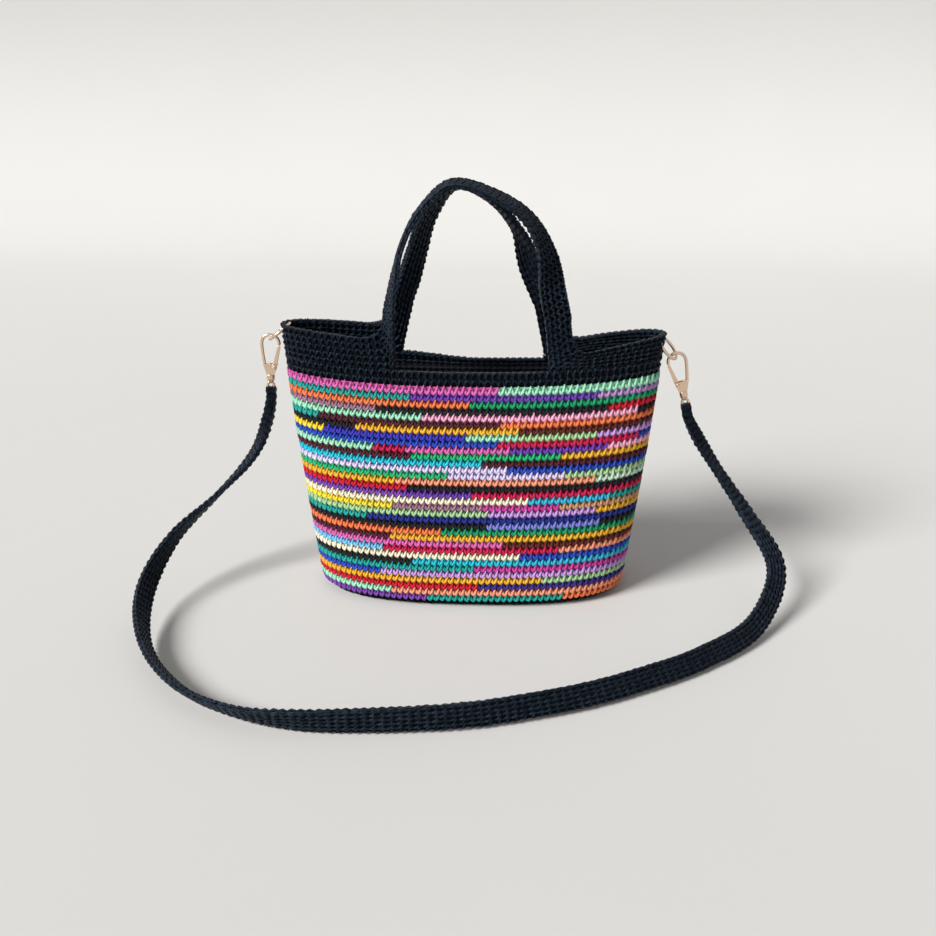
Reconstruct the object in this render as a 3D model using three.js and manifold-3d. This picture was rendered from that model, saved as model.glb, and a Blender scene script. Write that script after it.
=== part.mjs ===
// A crocheted shoulder bag: an oval base, a wall worked in striped rounds, a plain top band that runs on
// into two handles, and a crocheted strap that clips by a snap hook to a ring at each side.
// Units are millimetres. +Z is up, +X runs along the bag's width and -Y is its front.
// The origin is the middle of the base's underside.

import * as THREE from 'three';
import { mergeVertices } from 'three/addons/utils/BufferGeometryUtils.js';
import Module from 'manifold-3d';

const wasm = await Module();
wasm.setup();

// Bag outline: half width and half depth of a rounded oval, at the base and at the rim. The rounds rise
// towards the bag's ends, and the rim dips from there to the handles.
const BASE_HALF_X = 115.5;
const BASE_HALF_Y = 52.3;
const RIM_HALF_X = 135;
const RIM_HALF_Y = 27;
const OVAL_POWER = 2.6;
const SIDE_SWELL = 1.2;
const RIM_LEVEL = 194;
const END_RISE = 7.3;
const END_RISE_POWER = 2.2;
const RIM_END_Z = { left: 199.5, right: 195 };
const RIM_SAG = { left: 5, right: 10 };
const RIM_SAG_RUN = 57;
const RIM_SAG_POWER = 1.2;
const FOOT_TUCK = 3;
const FOOT_RISE = 12;
const BASE_THICK = 5.5;
const BASE_EDGE = 1.5;

// Crochet fabric: rounds with a crest at the middle of each and a groove between two
const WALL = 5;
const GROOVE = 1.1;
const BODY_TOP = 161;
const BODY_ROUNDS = 34;
const CUFF_ROUNDS = 2;
const STRIP_Z = 172;
const STRIP_ROUNDS = 5;
const STRIP_EDGE = 1.2;
const STRIP_LAP = 0.9;
const STRIP_FLAT = 0.37;
const PLAY = 0.3;

// Handles: where each opening ends, and each handle's line from its left leg to its right leg. A row is a
// point on the strip's middle and its roll in degrees, from upright in the wall (0) to flat on top (90).
const OPENING = 52.5;
const MOUTH_DIP = 5;
const MOUTH_DIP_FULL = [5, 55];
const MOUTH_DIP_END = [-55, 90];
const HANDLE_WIDTH = 19;
const LEG_FILLET = 9;
const FRONT = -1;
const BACK = 1;
const FRONT_HANDLE = [
  [-53.7, -25.5, 210.5, 56],
  [-50.7, -22, 231, 68],
  [-46.5, -17.5, 253, 82],
  [-35, -13, 274.5, 85],
  [-14, -10.8, 292, 82],
  [13.5, -10.8, 285.5, 78],
  [36.5, -13, 270.8, 70],
  [48.5, -17, 249.8, 52],
  [53.5, -21, 225, 14],
  [57.5, -24.5, 208, 5],
];
const BACK_HANDLE = [
  [-51, 25, 211, 36],
  [-46, 23, 225, 34],
  [-39, 19, 246.5, 46],
  [-30.6, 13.5, 269.2, 62],
  [-12, 10.8, 289, 80],
  [11.5, 11, 281, 72],
  [30.5, 15, 259.8, 60],
  [40, 21, 235, 22],
  [52, 24.5, 209, 3],
];

// Side rings, in their hanging pose: each passes in and out through the band below the rim
const RING_RADIUS = 9;
const RING_WIRE = 1.1;
const RING_HOLE_Z = { right: 187.5, left: 194.8 };
const RING_OUT = { right: 6.6, left: 4.1 };
const RING_DROOP = { right: 46, left: 37 };
const RING_ROLL = { right: 18, left: 0 };
const RING_SWING = 6;
const RING_PLAY = 0.45;

// Snap hooks, in a frame whose origin is the ring's wire, +Z along the hook to its bow, -X to the gate
const HOOK_TILT = { right: 16, left: 4.5 };
const HOOK_WIRE = 1.15;
const BOW_RADIUS = 6.2;
const BOW_TOP = 2.9;
const NOSE_ANGLE = 191;
const NOSE_POINTS = 7;
const SPINE_TOP = [5.8, -8.9];
const SPINE_FOOT = [4.1, -20];
const PLATE_OUTLINE = [[-5, -18.2], [5.3, -18.2], [2.9, -25.6], [1.9, -26.6], [-1.9, -26.6], [-2.9, -25.6]];
const SLOT_OUTLINE = [[-7, -17.2], [2, -17.2], [0, -22.6], [-7, -22.6]];
const PLATE_THICK = 3.8;
const PLATE_BEVEL = 0.3;
const GATE_PIVOT = [-2.9, -20.2];
const GATE_WIDTH = 2;
const GATE_THICK = 1.8;
const GATE_FOOT = 1.6;
const GATE_FOOT_STEPS = 6;
const GATE_BEVEL = 0.2;
const GATE_TIP_CUT = 0.3;
const GATE_TIP = [-6.05, -5.6];
const PIN_RADIUS = 0.6;
const PIN_HEAD = 1;
const PIN_HEAD_THICK = 0.5;
const SPRING_THICK = 0.4;
const SPRING_LENGTH = 3;
const SPRING_LEAN = 25;
const SPRING_WIDTH = 1.4;
const SPRING_FOOT = [-0.9, -21.8];
const BARREL_RADIUS = 2.9;
const BARREL_BOTTOM = -30.2;
const BARREL_TOP = -26;
const BARREL_ROOF = -27;
const BARREL_SHELF = -28.7;
const BARREL_PLAY = 0.35;
const HEAD_RADIUS = 1.85;
const POST_RADIUS = 1.1;
const COLLAR_RADIUS = 2.4;
const COLLAR_FOOT = 2.1;
const COLLAR_BOTTOM = -31.9;
const BAIL_HALF = 2.2;
const BAIL_TOP = -34;
const BAIL_FOOT = -37.6;
const BAIL_WIRE = 0.95;

// Strap: its route from the left hook to the right one, and the way its outer face looks at each point
const STRAP_WIDTH = 16;
const STRAP_THICK = 5.5;
const STRAP_END_WIDTH = 8.5;
const STRAP_END_THICK = 7;
const STRAP_TAPER = 90;
const STRAP_START = -35.5;
const STRAP_LEAD = -47;
const STRAP_STEPS = 60;
const STRAP_CORNER = 1 / 3;
const STRAP_MEASURES = 800;
const END_FACE = [0, -1, 0];
const STRAP_ROUTE = [
  [-162.6, 4, 100.9, -0.75, -0.43, 0.5],
  [-193.8, -1, 66.3, -0.67, 0.1, 0.73],
  [-222, -24, 41.5, -0.95, 0.25, 0.21],
  [-231.5, -62.6, 20.5, -0.83, 0.13, -0.54],
  [-213.7, -116.2, 10, -0.77, -0.45, -0.45],
  [-172.7, -163, 8.3, -0.5, -0.62, -0.6],
  [-132.5, -183.5, 8.5, -0.27, -0.81, -0.52],
  [-95.9, -189.5, 8.7, -0.09, -0.98, -0.15],
  [-61.6, -188.6, 8.7, 0.01, -0.99, 0.12],
  [-27.5, -185.8, 8.8, 0.08, -0.96, 0.28],
  [7.2, -180.4, 8.7, 0.17, -0.88, 0.45],
  [41.3, -170.5, 8.3, 0.23, -0.75, 0.62],
  [76.6, -158, 7.9, 0.29, -0.63, 0.71],
  [113.2, -140.8, 7.8, 0.37, -0.59, 0.72],
  [152.7, -118.1, 7.9, 0.45, -0.55, 0.7],
  [197.5, -81, 11.2, 0.45, -0.57, 0.69],
  [221.5, -34.5, 31, 0.29, -0.68, 0.67],
  [204.5, -3.5, 59, 0.47, -0.45, 0.76],
  [180.5, 8, 92, 0.74, -0.43, 0.52],
];

// Facets
const AROUND = 36;
const INNER_STEPS = 4;
const SIDE_STEPS = 10;
const CORNER_STEPS = 6;
const ARCH_STEPS = 24;
const RING_STEPS = 24;
const WIRE_SIDES = 8;
const BOW_STEPS = 22;
const LATHE_SIDES = 12;
const BAIL_STEPS = 16;

const BLACK_YARN = { color: 0x15171c, roughness: 0.95, metalness: 0 };
const MIXED_YARN = { color: 0x9a5f86, roughness: 0.9, metalness: 0 };
const ROSE_GOLD = { color: 0xd9b79a, roughness: 0.25, metalness: 1 };
const SPRING_STEEL = { color: 0xb9bcc2, roughness: 0.35, metalness: 1 };

const SIDES = ['left', 'right'];
const radians = THREE.MathUtils.degToRad;

// Meshes and solids

function toSolid(geometry) {
  const bare = geometry.clone();
  bare.deleteAttribute('normal');
  bare.deleteAttribute('uv');
  const merged = mergeVertices(bare, 1e-4);
  return new wasm.Manifold(new wasm.Mesh({
    numProp: 3,
    vertProperties: new Float32Array(merged.attributes.position.array),
    triVerts: new Uint32Array(merged.index.array),
  }));
}

function toGeometry(solid) {
  const mesh = solid.getMesh();
  const geometry = new THREE.BufferGeometry();
  geometry.setAttribute('position', new THREE.BufferAttribute(new Float32Array(mesh.vertProperties), 3));
  geometry.setIndex(new THREE.BufferAttribute(new Uint32Array(mesh.triVerts), 1));
  geometry.computeVertexNormals();
  return geometry;
}

function joined(first, ...others) {
  const solid = others.reduce((sum, next) => sum.add(toSolid(next)), toSolid(first));
  return toGeometry(solid);
}

function cut(body, ...tools) {
  const solid = tools.reduce((left, tool) => left.subtract(toSolid(tool)), toSolid(body));
  return toGeometry(solid);
}

// Turns a closed surface's faces so that they look outwards
function facingOut(geometry) {
  const place = geometry.attributes.position;
  const index = Array.from(geometry.index.array);
  const corner = (i) => new THREE.Vector3().fromBufferAttribute(place, index[i]);
  let volume = 0;
  for (let i = 0; i < index.length; i += 3) {
    volume += corner(i).dot(corner(i + 1).cross(corner(i + 2))) / 6;
  }
  geometry.setIndex(volume < 0 ? index.reverse() : index);
  geometry.computeVertexNormals();
  return geometry;
}

// A skin through sections of equal count, each a closed ring of points; a closed loft meets its own start,
// an open one is capped at both ends
function loft(sections, closed) {
  const sides = sections[0].length;
  const index = [];
  const spans = closed ? sections.length : sections.length - 1;
  for (let i = 0; i < spans; i++) {
    const here = i * sides;
    const next = ((i + 1) % sections.length) * sides;
    for (let k = 0; k < sides; k++) {
      const l = (k + 1) % sides;
      index.push(here + k, here + l, next + l);
      index.push(here + k, next + l, next + k);
    }
  }
  if (!closed) {
    const last = (sections.length - 1) * sides;
    for (let k = 1; k < sides - 1; k++) {
      index.push(0, k + 1, k);
      index.push(last, last + k, last + k + 1);
    }
  }
  const geometry = new THREE.BufferGeometry().setFromPoints(sections.flat());
  return facingOut(geometry.setIndex(index));
}

function circle(radius, sides) {
  const points = [];
  for (let k = 0; k < sides; k++) {
    const turn = (2 * Math.PI * k) / sides;
    points.push(new THREE.Vector2(radius * Math.cos(turn), radius * Math.sin(turn)));
  }
  return points;
}

function wireAlong(curve, radius, steps) {
  const section = new THREE.Shape(circle(radius, WIRE_SIDES));
  return new THREE.ExtrudeGeometry(section, { steps, extrudePath: curve, bevelEnabled: false });
}

// A flat outline in the XZ plane, given thickness along Y about its middle
function slab(outline, thickness, bevel) {
  const shape = new THREE.Shape(outline.map(([x, z]) => new THREE.Vector2(x, z)));
  const geometry = new THREE.ExtrudeGeometry(shape, {
    depth: thickness - 2 * bevel,
    bevelEnabled: bevel > 0,
    bevelThickness: bevel,
    bevelSize: bevel,
    bevelOffset: -bevel,
    bevelSegments: 1,
  });
  geometry.translate(0, 0, bevel - thickness / 2);
  return geometry.rotateX(Math.PI / 2);
}

function rodAlongY(x, z, radius, length) {
  const rod = new THREE.CylinderGeometry(radius, radius, length, LATHE_SIDES);
  return rod.translate(x, 0, z);
}

function turned(profile) {
  const points = profile.map(([r, z]) => new THREE.Vector2(r, z));
  const lathe = new THREE.LatheGeometry(points, LATHE_SIDES);
  return facingOut(lathe.rotateX(Math.PI / 2));
}

// Bag outline

function ovalHalves(level) {
  const share = Math.min(1, level / RIM_LEVEL);
  const tuck = FOOT_TUCK * Math.max(0, 1 - level / FOOT_RISE) ** 2;
  const swell = SIDE_SWELL * Math.sin(Math.PI * share);
  return {
    x: THREE.MathUtils.lerp(BASE_HALF_X, RIM_HALF_X, share) + swell - tuck,
    y: THREE.MathUtils.lerp(BASE_HALF_Y, RIM_HALF_Y, share) - tuck,
  };
}

// The height that a round of some level has at a place across the bag
function roundHeight(x, level) {
  const share = Math.abs(x) / ovalHalves(level).x;
  return level + END_RISE * (level / RIM_LEVEL) * share ** END_RISE_POWER;
}

function ovalPoint(angle, level, inset) {
  const half = ovalHalves(level);
  const c = Math.cos(angle);
  const s = Math.sin(angle);
  const power = 2 / OVAL_POWER;
  const x = (half.x - inset) * Math.sign(c) * Math.abs(c) ** power;
  const y = (half.y - inset) * Math.sign(s) * Math.abs(s) ** power;
  return new THREE.Vector3(x, y, roundHeight(x, level));
}

function ovalRing(level, inset) {
  const ring = [];
  for (let k = 0; k < AROUND; k++) {
    ring.push(ovalPoint((2 * Math.PI * k) / AROUND, level, inset));
  }
  return ring;
}

function rimHeight(x) {
  const side = x < 0 ? 'left' : 'right';
  const share = Math.max(0, (RIM_HALF_X - Math.abs(x)) / RIM_SAG_RUN);
  return RIM_END_Z[side] - RIM_SAG[side] * share ** RIM_SAG_POWER;
}

// How far the edge below the back handle sags
function mouthDip(x, y) {
  const rise = THREE.MathUtils.smoothstep(x, MOUTH_DIP_END[0], MOUTH_DIP_FULL[0]);
  const fall = THREE.MathUtils.smoothstep(x, MOUTH_DIP_FULL[1], MOUTH_DIP_END[1]);
  return y > 0 ? MOUTH_DIP * rise * (1 - fall) : 0;
}

// The middle of the fabric on the front or back wall, at a place across the bag
function wallMiddle(x, level, face) {
  const half = ovalHalves(level);
  const share = Math.abs(x) / (half.x - WALL / 2);
  const y = (half.y - WALL / 2) * (1 - share ** OVAL_POWER) ** (1 / OVAL_POWER);
  return new THREE.Vector3(x, face * y, roundHeight(x, level));
}

// Base, striped body and top band

function ovalBase() {
  const shape = new THREE.Shape(ovalRing(0, BASE_EDGE).map((p) => new THREE.Vector2(p.x, p.y)));
  const geometry = new THREE.ExtrudeGeometry(shape, {
    depth: BASE_THICK - 2 * BASE_EDGE,
    bevelThickness: BASE_EDGE,
    bevelSize: BASE_EDGE,
    bevelSegments: 2,
  });
  return geometry.translate(0, 0, BASE_EDGE);
}

// A wall of rounds, whose top edge may dip below its level
function roundedWall(bottom, top, rounds, dip) {
  const ringAt = (share, inset) => {
    const ring = ovalRing(THREE.MathUtils.lerp(bottom, top, share), inset);
    ring.forEach((point) => { point.z -= share * dip(point.x, point.y); });
    return ring;
  };
  const rings = [];
  for (let k = 0; k <= 2 * rounds; k++) {
    rings.push(ringAt(k / (2 * rounds), k % 2 === 0 ? GROOVE : 0));
  }
  for (let k = 0; k <= INNER_STEPS; k++) {
    rings.push(ringAt(1 - k / INNER_STEPS, WALL));
  }
  return loft(rings, true);
}

// The strip's outline across its width, as a share of the width and a height off its middle: rounds on the
// outer face, plain inside
function stripOutline() {
  const outline = [];
  for (let k = 0; k <= 2 * STRIP_ROUNDS; k++) {
    const atEdge = k === 0 || k === 2 * STRIP_ROUNDS;
    const height = k % 2 === 1 ? WALL / 2 : WALL / 2 - GROOVE;
    outline.push([k / (2 * STRIP_ROUNDS) - 0.5, atEdge ? STRIP_EDGE : height]);
  }
  outline.push([0.5, -STRIP_EDGE], [STRIP_FLAT, -WALL / 2], [-STRIP_FLAT, -WALL / 2], [-0.5, -STRIP_EDGE]);
  return outline;
}

// One handle's edges, from its left leg to its right leg
function archEdges(stations, face) {
  const line = new THREE.CatmullRomCurve3(stations.map(([x, y, z]) => new THREE.Vector3(x, y, z)));
  const rolls = new THREE.SplineCurve(stations.map((row, i) => new THREE.Vector2(i, row[3])));
  const edges = [];
  for (let k = 0; k <= ARCH_STEPS; k++) {
    const share = k / ARCH_STEPS;
    const middle = line.getPoint(share);
    const along = line.getTangent(share);
    const roll = radians(rolls.getPoint(share).y);
    const out = new THREE.Vector3(0, face, 0).addScaledVector(along, -face * along.y).normalize();
    const inward = along.clone().cross(out).multiplyScalar(-face);
    const half = inward.multiplyScalar(Math.cos(roll)).addScaledVector(out, Math.sin(roll));
    half.multiplyScalar(HANDLE_WIDTH / 2);
    edges.push({ inner: middle.clone().add(half), outer: middle.clone().sub(half) });
  }
  return edges;
}

// The turn from the side band up into a leg: a square corner at the opening, a fillet at the rim
function cornerEdges(face, openingX, leg) {
  const side = Math.sign(openingX);
  const startX = openingX + side * (HANDLE_WIDTH + LEG_FILLET);
  const low = STRIP_Z - STRIP_LAP;
  const rim = new THREE.QuadraticBezierCurve3(
    wallMiddle(startX, RIM_LEVEL, face).setZ(rimHeight(startX)),
    wallMiddle(leg.outer.x, RIM_LEVEL, face).setZ(rimHeight(leg.outer.x)),
    leg.outer,
  );
  const edges = [];
  for (let k = 0; k < CORNER_STEPS; k++) {
    const share = k / CORNER_STEPS;
    const along = wallMiddle(THREE.MathUtils.lerp(startX, openingX, Math.min(1, 2 * share)), low, face);
    along.z -= mouthDip(along.x, along.y);
    const inner = along.lerp(leg.inner, Math.max(0, 2 * share - 1));
    edges.push({ inner, outer: rim.getPoint(share) });
  }
  return edges;
}

// The band round one end of the bag, between the corners of its front and back openings
function sideEdges(turn) {
  const half = ovalHalves(STRIP_Z).x - WALL / 2;
  const start = OPENING + HANDLE_WIDTH + LEG_FILLET;
  const reach = Math.acos((start / half) ** (OVAL_POWER / 2));
  const edges = [];
  for (let k = 1; k < SIDE_STEPS; k++) {
    const angle = turn + THREE.MathUtils.lerp(-reach, reach, k / SIDE_STEPS);
    const inner = ovalPoint(angle, STRIP_Z - STRIP_LAP, WALL / 2);
    inner.z -= mouthDip(inner.x, inner.y);
    const outer = ovalPoint(angle, RIM_LEVEL, WALL / 2);
    edges.push({ inner, outer: outer.setZ(rimHeight(outer.x)) });
  }
  return edges;
}

// The edges of the looped strip, once round the bag: front handle, right end, back handle, left end
function stripEdges() {
  const front = archEdges(FRONT_HANDLE, FRONT);
  const back = archEdges(BACK_HANDLE, BACK);
  return [
    ...cornerEdges(FRONT, -OPENING, front[0]),
    ...front,
    ...cornerEdges(FRONT, OPENING, front.at(-1)).reverse(),
    ...sideEdges(0),
    ...cornerEdges(BACK, OPENING, back.at(-1)),
    ...back.reverse(),
    ...cornerEdges(BACK, -OPENING, back.at(-1)).reverse(),
    ...sideEdges(Math.PI),
  ];
}

function loopedStrip() {
  const edges = stripEdges();
  const outline = stripOutline();
  const middles = edges.map(({ inner, outer }) => inner.clone().lerp(outer, 0.5));
  const sections = edges.map(({ inner, outer }, i) => {
    const before = middles.at(i - 1);
    const after = middles[(i + 1) % middles.length];
    const across = inner.clone().sub(outer);
    const out = across.clone().cross(after.clone().sub(before)).normalize();
    return outline.map(([share, height]) => (
      middles[i].clone().addScaledVector(across, share).addScaledVector(out, height)
    ));
  });
  return loft(sections, true);
}

function topBand() {
  const cuff = roundedWall(BODY_TOP + PLAY, STRIP_Z, CUFF_ROUNDS, mouthDip);
  const band = joined(cuff, loopedStrip());
  const tunnels = [];
  for (const side of SIDES) {
    for (const swing of [0, RING_SWING]) {
      tunnels.push(ring(side, RING_WIRE + RING_PLAY, swing));
    }
  }
  return cut(band, ...tunnels);
}

// Rings

// The middle between a ring's two holes, for a ring at the right-hand end
function ringHole(side) {
  const z = RING_HOLE_Z[side];
  return new THREE.Vector3(ovalHalves(z).x - WALL / 2, 0, z);
}

// The end of the bag that a piece made for the right-hand one is turned to
function turnTo(side) {
  return side === 'right' ? 0 : Math.PI;
}

// A ring swung down from its hanging pose about the line through its two holes
function ring(side, wire, swing) {
  const hole = ringHole(side);
  const torus = new THREE.TorusGeometry(RING_RADIUS, wire, WIRE_SIDES, RING_STEPS);
  torus.translate(RING_OUT[side], 0, 0).rotateY(radians(swing)).rotateX(radians(RING_ROLL[side]));
  torus.rotateY(radians(RING_DROOP[side])).translate(hole.x, hole.y, hole.z);
  return torus.rotateZ(turnTo(side));
}

// Snap hooks

function bowWire() {
  const points = [SPINE_FOOT, SPINE_TOP].map(([x, z]) => new THREE.Vector3(x, 0, z));
  const middleZ = BOW_TOP - BOW_RADIUS;
  for (let turn = 0; turn <= NOSE_ANGLE; turn += NOSE_ANGLE / NOSE_POINTS) {
    const x = BOW_RADIUS * Math.cos(radians(turn));
    const z = middleZ + BOW_RADIUS * Math.sin(radians(turn));
    points.push(new THREE.Vector3(x, 0, z));
  }
  return wireAlong(new THREE.CatmullRomCurve3(points), HOOK_WIRE, BOW_STEPS);
}

function swivelBarrel() {
  return turned([
    [0, BARREL_TOP],
    [BARREL_RADIUS, BARREL_TOP],
    [BARREL_RADIUS, BARREL_BOTTOM],
    [POST_RADIUS + BARREL_PLAY, BARREL_BOTTOM],
    [POST_RADIUS + BARREL_PLAY, BARREL_SHELF],
    [HEAD_RADIUS + BARREL_PLAY, BARREL_SHELF],
    [HEAD_RADIUS + BARREL_PLAY, BARREL_ROOF],
    [0, BARREL_ROOF],
  ]);
}

function hookBody() {
  const plate = slab(PLATE_OUTLINE, PLATE_THICK, PLATE_BEVEL);
  const slot = slab(SLOT_OUTLINE, GATE_THICK + 2 * PLAY, 0);
  const pinHole = rodAlongY(...GATE_PIVOT, PIN_RADIUS + PLAY, 2 * PLATE_THICK);
  return cut(joined(plate, bowWire(), swivelBarrel()), slot, pinHole);
}

function gate() {
  const [pivotX, pivotZ] = GATE_PIVOT;
  const [tipX, tipZ] = GATE_TIP;
  const lean = Math.atan2(tipX - pivotX, tipZ - pivotZ);
  const half = (GATE_WIDTH / 2) * Math.cos(lean);
  const outline = [[tipX + half, tipZ], [tipX - half, tipZ - GATE_TIP_CUT]];
  for (let k = 0; k <= GATE_FOOT_STEPS; k++) {
    const turn = Math.PI - lean + (Math.PI * k) / GATE_FOOT_STEPS;
    outline.push([pivotX + GATE_FOOT * Math.cos(turn), pivotZ + GATE_FOOT * Math.sin(turn)]);
  }
  const bar = slab(outline.reverse(), GATE_THICK, GATE_BEVEL);
  return cut(bar, rodAlongY(pivotX, pivotZ, PIN_RADIUS + PLAY, 2 * GATE_THICK));
}

function gatePin() {
  const shank = rodAlongY(...GATE_PIVOT, PIN_RADIUS, PLATE_THICK + 2 * PIN_HEAD_THICK);
  const heads = [-1, 1].map((end) => {
    const head = rodAlongY(...GATE_PIVOT, PIN_HEAD, PIN_HEAD_THICK);
    return head.translate(0, end * (PLATE_THICK / 2 + PLAY + PIN_HEAD_THICK / 2), 0);
  });
  return joined(shank, ...heads);
}

function gateSpring() {
  const leaf = slab([
    [0, 0],
    [SPRING_THICK, 0],
    [SPRING_THICK, SPRING_LENGTH],
    [0, SPRING_LENGTH],
  ], SPRING_WIDTH, 0);
  leaf.rotateY(radians(SPRING_LEAN));
  return leaf.translate(SPRING_FOOT[0], 0, SPRING_FOOT[1]);
}

function bailLoop(wire) {
  const sections = [];
  for (let k = 0; k < BAIL_STEPS; k++) {
    const turn = (2 * Math.PI * (k + 0.5)) / BAIL_STEPS;
    const out = new THREE.Vector3(Math.cos(turn), 0, Math.sin(turn));
    const middle = out.clone().multiplyScalar(BAIL_HALF);
    middle.z += Math.sin(turn) > 0 ? BAIL_TOP : BAIL_FOOT;
    sections.push(circle(wire, WIRE_SIDES).map(({ x, y }) => {
      const point = middle.clone().addScaledVector(out, x);
      point.y += y;
      return point;
    }));
  }
  return loft(sections, true);
}

function swivelBail() {
  const post = turned([
    [0, BARREL_ROOF - PLAY],
    [HEAD_RADIUS, BARREL_ROOF - PLAY],
    [HEAD_RADIUS, BARREL_SHELF + PLAY],
    [POST_RADIUS, BARREL_SHELF + PLAY],
    [POST_RADIUS, BARREL_BOTTOM - PLAY],
    [COLLAR_RADIUS, BARREL_BOTTOM - PLAY],
    [COLLAR_FOOT, COLLAR_BOTTOM],
    [0, COLLAR_BOTTOM],
  ]);
  return joined(post, bailLoop(BAIL_WIRE));
}

// Places a piece made in the hook's frame at one side of the bag
function hookPlace(side) {
  const down = radians(RING_DROOP[side]);
  const reach = RING_OUT[side] + RING_RADIUS;
  const hang = ringHole(side).add(new THREE.Vector3(reach * Math.cos(down), 0, -reach * Math.sin(down)));
  return new THREE.Matrix4()
    .makeRotationZ(turnTo(side))
    .multiply(new THREE.Matrix4().makeTranslation(hang.x, hang.y, hang.z))
    .multiply(new THREE.Matrix4().makeRotationY(-radians(HOOK_TILT[side])));
}

// Strap

function strapSection(middle, across, out, width, thick) {
  const wide = width / 2;
  const deep = thick / 2;
  const corner = thick * STRAP_CORNER;
  const outline = [
    [-wide, -deep + corner], [-wide, deep - corner], [-wide + corner, deep], [wide - corner, deep],
    [wide, deep - corner], [wide, -deep + corner], [wide - corner, -deep], [-wide + corner, -deep],
  ];
  return outline.map(([a, b]) => middle.clone().addScaledVector(across, a).addScaledVector(out, b));
}

function strapRows() {
  const lead = (side, distance) => {
    const point = new THREE.Vector3(0, 0, distance).applyMatrix4(hookPlace(side));
    return [...point.toArray(), ...END_FACE];
  };
  return [
    lead('left', STRAP_START),
    lead('left', STRAP_LEAD),
    ...STRAP_ROUTE,
    lead('right', STRAP_LEAD),
    lead('right', STRAP_START),
  ];
}

function strap() {
  const rows = strapRows();
  const line = new THREE.CatmullRomCurve3(rows.map(([x, y, z]) => new THREE.Vector3(x, y, z)));
  const faces = new THREE.CatmullRomCurve3(rows.map((row) => new THREE.Vector3(...row.slice(3))));
  line.arcLengthDivisions = STRAP_MEASURES;
  const length = line.getLength();
  const sections = [];
  for (let k = 0; k <= STRAP_STEPS; k++) {
    const share = line.getUtoTmapping(k / STRAP_STEPS);
    const fromEnd = length * Math.min(k, STRAP_STEPS - k) / STRAP_STEPS;
    const full = THREE.MathUtils.smoothstep(fromEnd, 0, STRAP_TAPER);
    const along = line.getTangent(share);
    const out = faces.getPoint(share);
    out.addScaledVector(along, -along.dot(out)).normalize();
    sections.push(strapSection(
      line.getPoint(share),
      out.clone().cross(along),
      out,
      THREE.MathUtils.lerp(STRAP_END_WIDTH, STRAP_WIDTH, full),
      THREE.MathUtils.lerp(STRAP_END_THICK, STRAP_THICK, full),
    ));
  }
  const eyes = SIDES.map((side) => bailLoop(BAIL_WIRE + PLAY).applyMatrix4(hookPlace(side)));
  return cut(loft(sections, false), ...eyes);
}

// Assembly

function piece(name, geometry, finish) {
  const mesh = new THREE.Mesh(geometry, new THREE.MeshStandardMaterial(finish));
  mesh.name = name;
  return mesh;
}

function hookSet(side) {
  const set = new THREE.Group();
  set.applyMatrix4(hookPlace(side));
  set.add(
    piece(`snap_hook_${side}`, hookBody(), ROSE_GOLD),
    piece(`hook_gate_${side}`, gate(), ROSE_GOLD),
    piece(`gate_pin_${side}`, gatePin(), ROSE_GOLD),
    piece(`gate_spring_${side}`, gateSpring(), SPRING_STEEL),
    piece(`swivel_bail_${side}`, swivelBail(), ROSE_GOLD),
  );
  return set;
}

const bag = new THREE.Group();
bag.add(
  piece('oval_base', ovalBase(), BLACK_YARN),
  piece('striped_body', roundedWall(BASE_THICK + PLAY, BODY_TOP, BODY_ROUNDS, () => 0), MIXED_YARN),
  piece('band_and_handles', topBand(), BLACK_YARN),
  piece('strap', strap(), BLACK_YARN),
);
for (const side of SIDES) {
  bag.add(piece(`side_ring_${side}`, ring(side, RING_WIRE, 0), ROSE_GOLD), hookSet(side));
}

export default bag;
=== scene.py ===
"""Crocheted shoulder bag, dressed over its solids: stitches, yarns, metal and light.

Sizes are millimetres in the bag's own frame: +X runs along its width, -Y out of its front and
+Z up. A mesh is brought to metres as it is made.
"""

import logging
import math
from collections.abc import Sequence
from dataclasses import dataclass, field
from enum import Enum
from typing import Self

import bmesh
import bpy
import numpy as np
from bpy.types import Material, Node, NodeOutputs, NodeSocket, NodeTree, Object
from mathutils import Matrix, Vector


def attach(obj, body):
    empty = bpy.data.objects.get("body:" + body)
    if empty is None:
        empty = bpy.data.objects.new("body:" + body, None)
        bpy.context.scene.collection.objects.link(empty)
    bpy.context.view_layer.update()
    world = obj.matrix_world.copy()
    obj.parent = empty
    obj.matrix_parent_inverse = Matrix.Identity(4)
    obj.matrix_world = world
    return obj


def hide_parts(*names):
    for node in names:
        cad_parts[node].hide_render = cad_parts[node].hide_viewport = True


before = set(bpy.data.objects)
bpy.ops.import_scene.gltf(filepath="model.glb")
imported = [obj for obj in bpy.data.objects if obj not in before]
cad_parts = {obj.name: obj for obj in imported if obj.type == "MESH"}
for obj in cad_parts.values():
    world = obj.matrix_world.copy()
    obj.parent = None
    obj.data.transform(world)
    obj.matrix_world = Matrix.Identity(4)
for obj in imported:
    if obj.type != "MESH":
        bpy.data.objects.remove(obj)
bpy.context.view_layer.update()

Array = np.ndarray
Pair = tuple[float, float]
Triple = tuple[float, float, float]
Pairs = tuple[Pair, ...]
Table = tuple[tuple[float, ...], ...]

MM = 0.001
SEED = 7
TINY = 1e-12
SAME_POINT = 1e-4

# What a fabric's mesh carries for its finish: each point's colour, and a UV strip along each leg
YARN_LAYER = "yarn"
LEG_LAYER = "leg"

# How far each round is worked on from the one before it, in loops
ROUND_SHIFT = 0.12

# Sockets that share their names with others, by number
MIX_A, MIX_B, MIX_RESULT = 6, 7, 2
COMPARE_A, COMPARE_B = 2, 3
SHADER = "Principled BSDF"

log = logging.getLogger("bag")


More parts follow.
